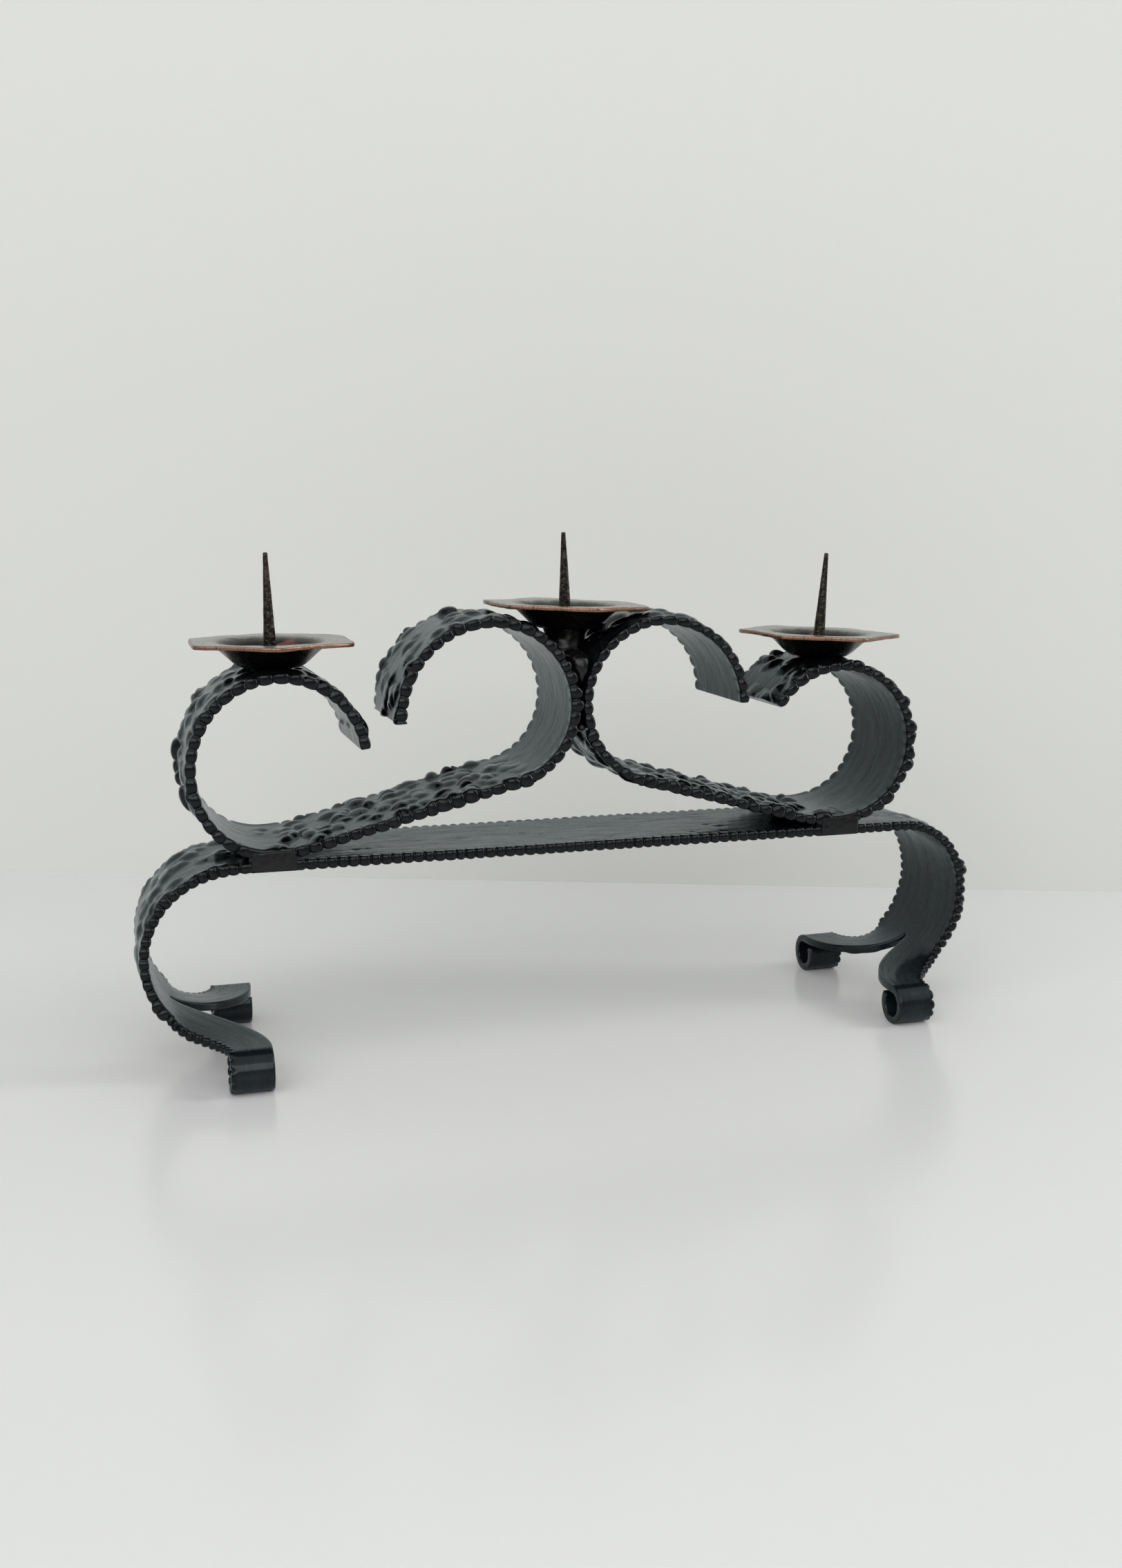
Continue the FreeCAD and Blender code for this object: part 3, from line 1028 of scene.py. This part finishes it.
    def prong_curve(self, end: int, front: int) -> tuple[np.ndarray, np.ndarray, np.ndarray]:
        """Middle line of a prong from its slit to its roll.

        Args:
            end: -1 for the left leg, 1 for the right one.
            front: -1 for the front prong, 1 for the back one.

        Returns:
            Distances, places and directions of samples along it.
        """
        along = np.array([0.0 if end < 0 else self.line.length()])
        x, z, heading = (value[0] for value in self.line.follow(along))
        ahead = np.array([math.cos(heading), 0.0, math.sin(heading)]) * end
        inset = self.insets[end][0 if front < 0 else 1]
        start = np.array([x, front * (self.width + self.slit) / 4, z])
        top = 2 * self.roll_radius - self.flat_depth - self.roll_thickness / 2
        foot = np.array([x - end * inset, front * self.foot_reach, top])
        poles = (start, start + ahead * self.start_pull, foot - np.array([0, front * self.end_pull, 0]), foot)
        u = np.linspace(0, 1, 400)[:, None]
        weights = ((1 - u) ** 3, 3 * u * (1 - u) ** 2, 3 * u * u * (1 - u), u**3)
        places = sum(weight * pole for weight, pole in zip(weights, poles))
        slopes = np.gradient(places, axis=0)
        slopes /= np.linalg.norm(slopes, axis=1)[:, None]
        distance = np.concatenate([[0], np.cumsum(np.linalg.norm(np.diff(places, axis=0), axis=1))])
        return distance, places, slopes

    def draw_prong(self, flat: np.ndarray, end: int, front: int) -> np.ndarray:
        """Places the vertices of one prong, its strip and its roll.

        Args:
            flat: Vertices of the prong on the flat strap.
            end: -1 for the left leg, 1 for the right one.
            front: -1 for the front prong, 1 for the back one.

        Returns:
            Vertices in their places.
        """
        length = self.line.length()
        beyond = -flat[:, 0] if end < 0 else flat[:, 0] - length
        distance, places, slopes = self.prong_curve(end, front)
        strip = distance[-1]
        mid_radius = self.roll_radius - self.roll_thickness / 2
        roll = mid_radius * math.radians(self.roll_turn)
        run = beyond / self.prong_length * (strip + roll)
        spaced = np.linspace(0, 1, len(distance))
        u = np.interp(np.minimum(run, strip), distance, spaced)
        gap = self.slit_gap * beyond / self.prong_length
        quarter = self.width / 4
        a = (np.abs(flat[:, 1]) - gap - quarter) / quarter
        half_width = (self.width / 2 - self.slit * 0.5 * np.clip(u * 8, 0, 1)) / 2
        half_width = half_width + (self.foot_width / 2 - half_width) * u
        depth = flat[:, 2] * (1 + (self.roll_thickness / self.thickness - 1) * u)
        centre = np.column_stack([np.interp(u, spaced, column) for column in places.T])
        slope = np.column_stack([np.interp(u, spaced, column) for column in slopes.T])
        slope /= np.linalg.norm(slope, axis=1)[:, None]
        across = np.column_stack([end * u, front * (1 - u), 0 * u])
        across -= slope * np.sum(across * slope, axis=1)[:, None]
        across /= np.linalg.norm(across, axis=1)[:, None]
        normal = end * front * np.cross(slope, across)
        rows = centre + across * (a * half_width)[:, None] + normal * depth[:, None]
        rolled = run > strip
        angle = (run[rolled] - strip) / mid_radius
        tightening = 0.5 * (run[rolled] - strip) / roll
        radius = mid_radius - tightening - depth[rolled] * (1 - 0.25 * tightening)
        foot = places[-1]
        rows[rolled, 0] = foot[0] + end * a[rolled] * self.foot_width / 2
        rows[rolled, 1] = foot[1] + front * np.sin(angle) * radius
        rows[rolled, 2] = foot[2] - mid_radius + np.cos(angle) * radius
        rows[:, 2] = np.maximum(rows[:, 2], 0.0)
        return rows

    def bend(self, flat: np.ndarray) -> np.ndarray:
        """Bends the run and the legs to their line and draws out the prongs.

        Args:
            flat: Vertices of the flat strap and its prongs.

        Returns:
            Vertices in their places.
        """
        rows = super().bend(flat)
        length = self.line.length()
        for end, beyond in ((-1, flat[:, 0] < -1e-6), (1, flat[:, 0] > length + 1e-6)):
            for front in (-1, 1):
                lane = beyond & (flat[:, 1] * front > 0)
                rows[lane] = self.draw_prong(flat[lane], end, front)
        return rows


# ---------------------------------------------------------------- candle places


@dataclass
class CandlePlace:
    """One candle place: a six-sided pan with a bowl, its pricket and the weld beneath it."""

    side: str
    turn: float
    tilt: float
    lean: float
    spike_height: float
    grip: float
    wax: float
    seed: int
    corner_rounding: float = 0.055
    pan_wall: float = 1.2
    sides: int = 132
    floor_reach: float = 11.6
    wax_centre: tuple[float, float] = (12.0, 7.0)
    wax_reach: float = 8.5
    weld_radius: float = 9.3

    def centre(self) -> Vector:
        """Middle of the bowl's underside, in millimetres."""
        low, high = (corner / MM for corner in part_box(self.side + "_pan_weld"))
        pan_low, _ = (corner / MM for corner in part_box(self.side + "_pan"))
        tilt_drop = math.sin(math.radians(self.tilt)) * self.floor_reach
        return Vector(((low.x + high.x) / 2, 0.0, pan_low.z + tilt_drop))

    def seat(self, bm: bmesh.types.BMesh) -> None:
        """Turns, tilts and moves a mesh from the pan's own frame to its place.

        Args:
            bm: Mesh made about the bowl's underside.
        """
        matrix = (
            Matrix.Translation(self.centre())
            @ Matrix.Rotation(math.radians(self.tilt), 4, "Y")
            @ Matrix.Rotation(math.radians(self.turn), 4, "Z")
        )
        bmesh.ops.transform(bm, matrix=matrix, verts=bm.verts)

    def stations(self) -> tuple[tuple[float, float, float, float], ...]:
        """Section of the pan from its floor, over the rim, to its underside.

        Returns:
            Reach, share of the six-sided outline, height and finish zone of each station.
        """
        return (
            (0.6, 0, 1.2, 0.0), (3.0, 0, 1.2, 0.0), (6.5, 0, 1.22, 0.0), (9.6, 0, 1.3, 0.0),
            (11.4, 0, 1.7, 0.0), (12.8, 0, 2.7, 0.02), (14.2, 0, 4.0, 0.04), (15.6, 0, 5.4, 0.06),
            (17.0, 0, 6.7, 0.10), (18.2, 0, 7.7, 0.18), (19.3, 0, 8.5, 0.30), (20.6, 0, 9.45, 0.40),
            (22.2, 0.05, 9.85, 0.46), (24.4, 0.25, 9.98, 0.5), (26.8, 0.5, 10.0, 0.5), (29.2, 0.75, 10.0, 0.5),
            (31.2, 0.92, 10.0, 0.5), (33.2, 1, 10.0, 0.5), (34.2, 1, 9.96, 0.9), (34.45, 1, 9.8, 1.0),
            (34.5, 1, 9.2, 1.0), (34.45, 1, 8.62, 1.0), (34.2, 1, 8.44, 1.0), (33.2, 1, 8.42, 0.8),
            (31.2, 0.92, 8.5, 0.25), (28.2, 0.7, 8.5, 0.15), (25.2, 0.35, 8.4, 0.1), (22.8, 0.08, 8.2, 0.08),
            (21.3, 0, 7.9, 0.06), (20.0, 0, 7.1, 0.06), (18.4, 0, 5.7, 0.05), (16.6, 0, 4.0, 0.05),
            (14.8, 0, 2.3, 0.05), (13.2, 0, 1.0, 0.05), (11.9, 0, 0.3, 0.04), (10.6, 0, 0.0, 0.04),
            (6.5, 0, 0.0, 0.04), (3.0, 0, 0.0, 0.04), (0.6, 0, 0.0, 0.04),
        )

    def outline(self, bearing: float, share: float) -> float:
        """Reach of the outline at a bearing, 1 at a corner, for a share of six-sidedness.

        Args:
            bearing: Angle about the pan's axis.
            share: 0 for round, 1 for six-sided.

        Returns:
            Factor of the corner radius.
        """
        sector = (bearing + math.pi / 6) % (math.pi / 3) - math.pi / 6
        to_flat = math.pi / 6 - abs(sector)
        straight = math.cos(math.pi / 6) / math.cos(to_flat)
        cut = straight - self.corner_rounding * 0.45 * max(0.0, 1 - abs(sector) / 0.14) ** 2
        wander = 0.012 * noise.noise(Vector((math.cos(bearing) * 1.6, math.sin(bearing) * 1.6, self.seed)))
        nick = 0.006 * noise.noise(Vector((math.cos(bearing) * 9, math.sin(bearing) * 9, self.seed + 4)))
        return (1 - share) + share * (cut + wander + nick)

    def pan(self, finish: bpy.types.Material) -> None:
        """Makes the pan by growing rings outwards from the floor and back underneath.

        Args:
            finish: Its material.
        """
        bm = bmesh.new()
        stations = self.stations()
        bmesh.ops.create_circle(bm, cap_ends=False, segments=self.sides, radius=1.0)
        ring = list(bm.verts)
        bearings = {v: math.atan2(v.co.y, v.co.x) for v in ring}
        zones: dict[bmesh.types.BMVert, float] = {}
        edges = list(bm.edges)

        def lay(verts: list, station: tuple[float, float, float, float]) -> None:
            """Moves one ring of vertices to its station."""
            reach, share, height, zone = station
            for vertex in verts:
                factor = self.outline(bearings[vertex], share)
                x, y = math.cos(bearings[vertex]), math.sin(bearings[vertex])
                wave = noise.noise(Vector((x * 1.3, y * 1.3, self.seed + 9)))
                dent = noise.noise(Vector((x * reach / 6, y * reach / 6, self.seed + 2)))
                lift = (0.55 * wave * max(0.0, (reach - 20) / 14.5)) + 0.16 * dent
                vertex.co = (x * reach * factor, y * reach * factor, height + lift)
                zones[vertex] = zone

        lay(ring, stations[0])
        first_edges = edges
        for station in stations[1:]:
            grown = bmesh.ops.extrude_edge_only(bm, edges=edges)["geom"]
            previous = {round(bearings[v], 5): bearings[v] for v in ring}
            ring = [g for g in grown if isinstance(g, bmesh.types.BMVert)]
            for vertex in ring:
                bearing = math.atan2(vertex.co.y, vertex.co.x)
                bearings[vertex] = previous.get(round(bearing, 5), bearing)
            lay(ring, station)
            fresh = set(ring)
            edges = [g for g in grown if isinstance(g, bmesh.types.BMEdge) and fresh.issuperset(g.verts)]
        for loop in (first_edges, edges):
            bmesh.ops.holes_fill(bm, edges=loop, sides=0)
        bmesh.ops.recalc_face_normals(bm, faces=bm.faces)
        bm.verts.index_update()
        run = coordinates(bm)
        zone = np.array([zones[v] for v in bm.verts])
        radius = np.hypot(run[:, 0] - self.wax_centre[0], run[:, 1] - self.wax_centre[1])
        wax = self.wax * np.clip((self.wax_reach - radius) / 4, 0, 1) * (run[:, 2] > 0.8)
        self.seat(bm)
        name = self.side + "_pan"
        publish(bm, name, finish, Slot.PAN, (name,), {"run": run * MM, "relief": zone, "wax": wax})

    def pricket(self, finish: bpy.types.Material) -> None:
        """Makes the tapered spike, its collar, its tail and its rivet head.

        Args:
            finish: Its material.
        """
        bm = bmesh.new()
        base_z = self.pan_wall + 0.75
        bmesh.ops.create_cone(
            bm, cap_ends=True, cap_tris=False, segments=16, radius1=2.75, radius2=0.85, depth=self.spike_height
        )
        tip = [e for e in bm.edges if all(v.co.z > self.spike_height / 2 - 0.01 for v in e.verts)]
        bmesh.ops.bevel(bm, geom=tip, offset=0.35, affect="EDGES", segments=2, profile=0.5, material=-1)
        long_edges = [e for e in bm.edges if e.calc_length() > self.spike_height / 2]
        bmesh.ops.subdivide_edges(bm, edges=long_edges, cuts=40)
        spike = list(bm.verts)
        for vertex in spike:
            shift = noise.noise(Vector((vertex.co.x * 0.9, vertex.co.y * 0.9, vertex.co.z * 0.22 + self.seed)))
            fine = noise.noise(Vector((vertex.co.x * 2.2, vertex.co.y * 2.2, vertex.co.z * 1.1 + self.seed)))
            swell = 1 + 0.035 * shift + 0.03 * fine
            vertex.co.x *= swell
            vertex.co.y *= swell
        lean = Matrix.Translation((0, 0, base_z)) @ Matrix.Rotation(math.radians(self.lean), 4, "Y")
        bmesh.ops.transform(bm, matrix=lean @ Matrix.Translation((0, 0, self.spike_height / 2)), verts=spike)
        # Collar, tail and rivet head: radius at the bottom and at the top, depth, middle.
        rest = [(3.2, 3.0, 1.5, base_z), (2.2, 2.2, self.grip + base_z, (base_z - self.grip) / 2)]
        if self.grip > 0:
            rest.append((2.9, 4.5, 1.75, -self.grip - 0.9))
        for bottom, top, depth, middle in rest:
            cone = bmesh.ops.create_cone(bm, cap_ends=True, segments=32, radius1=bottom, radius2=top, depth=depth)
            verts = cone["verts"]
            bmesh.ops.translate(bm, vec=(0, 0, middle), verts=verts)
            rims = {e for v in verts for e in v.link_edges if abs(e.verts[0].co.z - e.verts[1].co.z) < 1e-6}
            bmesh.ops.bevel(bm, geom=list(rims), offset=0.4, affect="EDGES", segments=3, profile=0.5, material=-1)
        bmesh.ops.recalc_face_normals(bm, faces=bm.faces)
        bmesh.ops.translate(bm, vec=self.centre(), verts=bm.verts)
        name = self.side + "_pricket"
        publish(bm, name, finish, Slot.PRICKET, (name,))

    def weld(self, finish: bpy.types.Material) -> None:
        """Makes the lumpy weld between the bowl and the strap.

        Args:
            finish: Its material.
        """
        bm = bmesh.new()
        name = self.side + "_pan_weld"
        low, high = (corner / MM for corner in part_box(name))
        depth = high.z - low.z
        radius = self.weld_radius
        bmesh.ops.create_cone(bm, cap_ends=True, segments=64, radius1=radius, radius2=radius, depth=depth)
        upright = [e for e in bm.edges if abs(e.verts[0].co.z - e.verts[1].co.z) > depth / 2]
        bmesh.ops.subdivide_edges(bm, edges=upright, cuts=10)
        for vertex in bm.verts:
            height = vertex.co.z / depth + 0.5
            flare = 1 - 0.16 * math.sin(math.pi * height)
            lump = noise.noise(Vector((vertex.co.x * 0.35, vertex.co.y * 0.35, vertex.co.z * 0.4 + self.seed)))
            vertex.co.x *= flare * (1 + 0.06 * lump)
            vertex.co.y *= flare * (1 + 0.06 * lump)
        bmesh.ops.recalc_face_normals(bm, faces=bm.faces)
        bmesh.ops.translate(bm, vec=(low + high) / 2, verts=bm.verts)
        publish(bm, name, finish, Slot.WELD, (name,))


# ---------------------------------------------------------------- welds


@dataclass
class WeldPads:
    """Pads of weld metal at the two edges of the base where a scroll's foot sits."""

    name: str
    seed: int
    spread: float = 1.9  # how far the metal laps over the straps, up and down
    depth: float = 6.8

    def build(self, finish: bpy.types.Material) -> None:
        """Makes both pads.

        Args:
            finish: Their material.
        """
        low, high = (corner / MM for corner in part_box(self.name))
        size = Vector((high.x - low.x, self.depth, high.z - low.z + 2 * self.spread))
        whole = bmesh.new()
        for front in (-1, 1):
            middle = Vector(((low.x + high.x) / 2, front * (high.y - self.depth / 2), (low.z + high.z) / 2))
            bm = bmesh.new()
            bmesh.ops.create_cube(bm, size=1.0)
            bmesh.ops.subdivide_edges(bm, edges=bm.edges, cuts=23, use_grid_fill=True)
            for vertex in bm.verts:
                x, y, z = vertex.co * 2
                ball = Vector((
                    x * math.sqrt(1 - y * y / 2 - z * z / 2 + y * y * z * z / 3),
                    y * math.sqrt(1 - z * z / 2 - x * x / 2 + z * z * x * x / 3),
                    z * math.sqrt(1 - x * x / 2 - y * y / 2 + x * x * y * y / 3),
                ))
                soft = Vector((x, y, z)).lerp(ball, 0.32) / 2
                place = Vector((soft.x * size.x, soft.y * size.y, soft.z * size.z))
                lump = noise.noise(Vector((place.x * 0.3, place.z * 0.5 + front * 7, self.seed)))
                place.y += front * 0.15 * lump
                place.z += 0.3 * lump
                vertex.co = middle + place
            join(whole, bm)
        publish(whole, self.name, finish, Slot.WELD, (self.name,))


@dataclass
class SeamWelds:
    """Two runs of weld in the valleys above and below the line where the inner loops meet."""

    name: str = "centre_weld"
    height: float = 4.0
    fill_top: float = 158.0  # the upper run fills the valley between the loops up to here
    loop_radius: float = 34.6  # of the loops' outer faces
    seed: int = 5

    def half_valley(self, climb: float) -> float:
        """Half of the valley's width at a height above the line where the loops meet."""
        return self.loop_radius - math.sqrt(self.loop_radius**2 - min(climb, 30.0) ** 2)

    def build(self, finish: bpy.types.Material) -> None:
        """Makes both runs.

        Args:
            finish: Their material.
        """
        low, high = (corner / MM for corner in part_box(self.name))
        whole = bmesh.new()
        touch = (low.z + high.z) / 2
        for place, first_z, last_z in ((-1, low.z, low.z + self.height), (1, high.z - self.height, self.fill_top)):
            bm = bmesh.new()
            bmesh.ops.create_cone(bm, cap_ends=True, segments=36, radius1=1.0, radius2=1.0, depth=1.0)
            bmesh.ops.rotate(bm, verts=bm.verts, cent=(0, 0, 0), matrix=Matrix.Rotation(math.pi / 2, 3, "X"))
            upright = [e for e in bm.edges if abs(e.verts[0].co.y - e.verts[1].co.y) > 0.5]
            bmesh.ops.subdivide_edges(bm, edges=upright, cuts=90)
            for vertex in bm.verts:
                along = vertex.co.y * (high.y - low.y)
                lump = noise.noise(Vector((along * 0.2, place, self.seed)))
                ripple = 0.9 + 0.1 * math.cos(along * 2 * math.pi / 2.1) + 0.12 * lump
                end = math.sqrt(max(0.05, 1 - (abs(vertex.co.y) * 2) ** 12))
                reach_z = (last_z - first_z) / 2
                new_z = (first_z + last_z) / 2 + vertex.co.z * reach_z * (0.85 + 0.15 * ripple) * end
                half_x = max((high.x - low.x) / 2 * ripple, self.half_valley(abs(new_z - touch)) + 0.8)
                vertex.co = ((low.x + high.x) / 2 + vertex.co.x * half_x * end, along, new_z)
            join(whole, bm)
        publish(whole, self.name, finish, Slot.WELD, (self.name,))


# ---------------------------------------------------------------- room, lights and camera


@dataclass
class Studio:
    """Pale table, pale wall, soft lamps on every side but the back, and the camera."""

    wall_distance: float = 0.2577
    wall_turn: float = -20.6  # the object stands at a slight angle to the wall
    size: float = 4.0
    table: Paint = Paint("pale_lacquered_board", "#d2d3d3", 0.2)
    wall: Paint = Paint("pale_wall_paint", "#d7d8d5", 0.9)
    camera_target: tuple[float, float, float] = (-0.002906, 0.0, 0.102125)
    camera_distance: float = 0.627185
    camera_azimuth: float = -17.264
    camera_elevation: float = 10.436
    camera_roll: float = 0.244
    camera_lens: float = 35.228
    lamp_colour: str = "#fefefd"
    # Name, watts, width and height, and place of each lamp.
    lamps: tuple = (
        ("window_left", 15.0, (1.8, 1.8), (-1.7, -0.8, 1.35)),
        ("ceiling_bounce", 27.0, (4.0, 3.4), (0.6, -0.2, 1.9)),
        ("window_right", 25.0, (0.8, 1.4), (1.7, -0.3, 0.9)),
        ("front_softbox", 27.0, (2.6, 1.4), (-0.5, -2.0, 1.3)),
    )

    def plane(self, name: str, paint: Paint, matrix: Matrix) -> None:
        """Adds one stage plane.

        Args:
            name: Name of the plane.
            paint: Its finish.
            matrix: Its place and turn, put into its mesh.
        """
        bm = bmesh.new()
        bmesh.ops.create_grid(bm, x_segments=2, y_segments=2, size=self.size / 2)
        bmesh.ops.transform(bm, matrix=matrix, verts=bm.verts)
        mesh = bpy.data.meshes.new(name)
        bm.to_mesh(mesh)
        bm.free()
        mesh.materials.append(paint.material())
        piece = bpy.data.objects.new(name, mesh)
        bpy.context.scene.collection.objects.link(piece)

    def backdrop(self) -> None:
        """Builds the table top and the wall behind it."""
        self.plane("table_top", self.table, Matrix.Translation((0, 1.0 - self.size / 2, 0)))
        turned = Matrix.Rotation(math.radians(self.wall_turn), 4, "Z")
        lifted = Matrix.Translation((0, self.wall_distance, self.size / 2))
        self.plane("wall", self.wall, lifted @ turned @ Matrix.Rotation(math.pi / 2, 4, "X"))

    def lamp(self, name: str, power: float, size: tuple[float, float], place: tuple) -> None:
        """Adds one soft lamp aimed at the object.

        Args:
            name: Name of the lamp.
            power: Its power in watts.
            size: Its width and height in metres.
            place: Where it hangs.
        """
        data = bpy.data.lights.new(name, "AREA")
        data.shape = "RECTANGLE"
        data.size, data.size_y = size
        data.energy = power
        data.color = linear(self.lamp_colour)[:3]
        lamp = bpy.data.objects.new(name, data)
        lamp.location = place
        aim = Vector((0, 0, 0.08)) - Vector(place)
        lamp.rotation_euler = aim.to_track_quat("-Z", "Y").to_euler()
        bpy.context.scene.collection.objects.link(lamp)

    def lights(self) -> None:
        """Hangs the lamps and sets the room's dim fill."""
        for lamp in self.lamps:
            self.lamp(*lamp)
        world = bpy.data.worlds.new("dim_room")
        world.use_nodes = True
        background = world.node_tree.nodes["Background"]
        background.inputs[0].default_value = linear("#e4e4e3")
        background.inputs[1].default_value = 0.38
        bpy.context.scene.world = world

    def camera(self) -> None:
        """Places the camera."""
        azimuth, elevation = math.radians(self.camera_azimuth), math.radians(self.camera_elevation)
        back = Vector(
            (math.sin(azimuth) * math.cos(elevation), -math.cos(azimuth) * math.cos(elevation), math.sin(elevation))
        )
        data = bpy.data.cameras.new("camera")
        data.lens = self.camera_lens
        data.sensor_width = 36.0
        data.clip_start = 0.01
        camera = bpy.data.objects.new("camera", data)
        camera.location = Vector(self.camera_target) + back * self.camera_distance
        aim = (-back).to_track_quat("-Z", "Y")
        roll = Matrix.Rotation(math.radians(self.camera_roll), 3, "Z").to_quaternion()
        camera.rotation_euler = (aim @ roll).to_euler()
        bpy.context.scene.collection.objects.link(camera)
        bpy.context.scene.camera = camera

    def build(self) -> None:
        """Builds the room, its lights and the camera."""
        self.camera()
        self.backdrop()
        self.lights()
        bpy.context.scene.view_settings.view_transform = "Standard"


# ---------------------------------------------------------------- assembly


def candle_places() -> tuple[CandlePlace, ...]:
    """The three candle places."""
    return (
        CandlePlace("left", 29.0, 0.0, -1.3, 41.0, 4.0, 1.0, 3),
        CandlePlace("middle", 33.0, 1.4, -1.4, 36.0, 0.0, 0.0, 8),
        CandlePlace("right", 37.0, 1.6, 3.6, 41.0, 4.0, 1.0, 14),
    )


def scroll_straps() -> tuple[ScrollStrap, ScrollStrap]:
    """The left and the right scroll."""
    left = ScrollStrap.between(
        "left_scroll_strap",
        Sense.ANTICLOCKWISE,
        ((28.0, 56.0), (35.0, 81.0), (32.0, 125.0)),
        (62.0, 14.6),
        ((30.0, 82.0), (33.5, 98.0), (36.0, 78.0)),
        21,
        (
            (95.5, 18.0, 9.0, 6.5, 2.9),
            (102.5, 20.0, 6.5, 5.5, 2.3),
            (106.0, 15.0, 6.0, 5.5, 2.6),
            (112.0, 4.0, 11.0, 7.0, 3.4),
            (345.0, 16.0, 8.0, 8.0, 2.8),
        ),
        ((6.5, 12.0, 2.4, 5.0, 0.9), (8.0, -6.0, 2.2, 5.0, 0.8)),
    )
    right = ScrollStrap.between(
        "right_scroll_strap",
        Sense.CLOCKWISE,
        ((32.0, 79.0), (32.5, 83.0), (33.0, 76.0)),
        (74.0, 15.3),
        ((33.0, 87.0), (32.0, 84.0), (35.0, 82.0)),
        34,
    )
    return left, right


def main() -> None:
    """Builds the whole candelabrum and its room."""
    logging.basicConfig(level=logging.INFO, format="%(name)s: %(message)s")
    Studio().build()
    iron, weld = BlackenedIron().material(), WeldMetal().material()
    sheet, spike = SheetIron().material(), SpikeIron().material()
    scrolls = scroll_straps()
    BaseStrap.from_box("base_strap", scrolls).forge(iron)
    for scroll in scrolls:
        scroll.forge(iron)
    WeldPads("left_base_weld", 2).build(weld)
    WeldPads("right_base_weld", 6).build(weld)
    SeamWelds().build(weld)
    for place in candle_places():
        place.pan(sheet)
        place.pricket(spike)
        place.weld(weld)


if __name__ == "__main__":
    main()
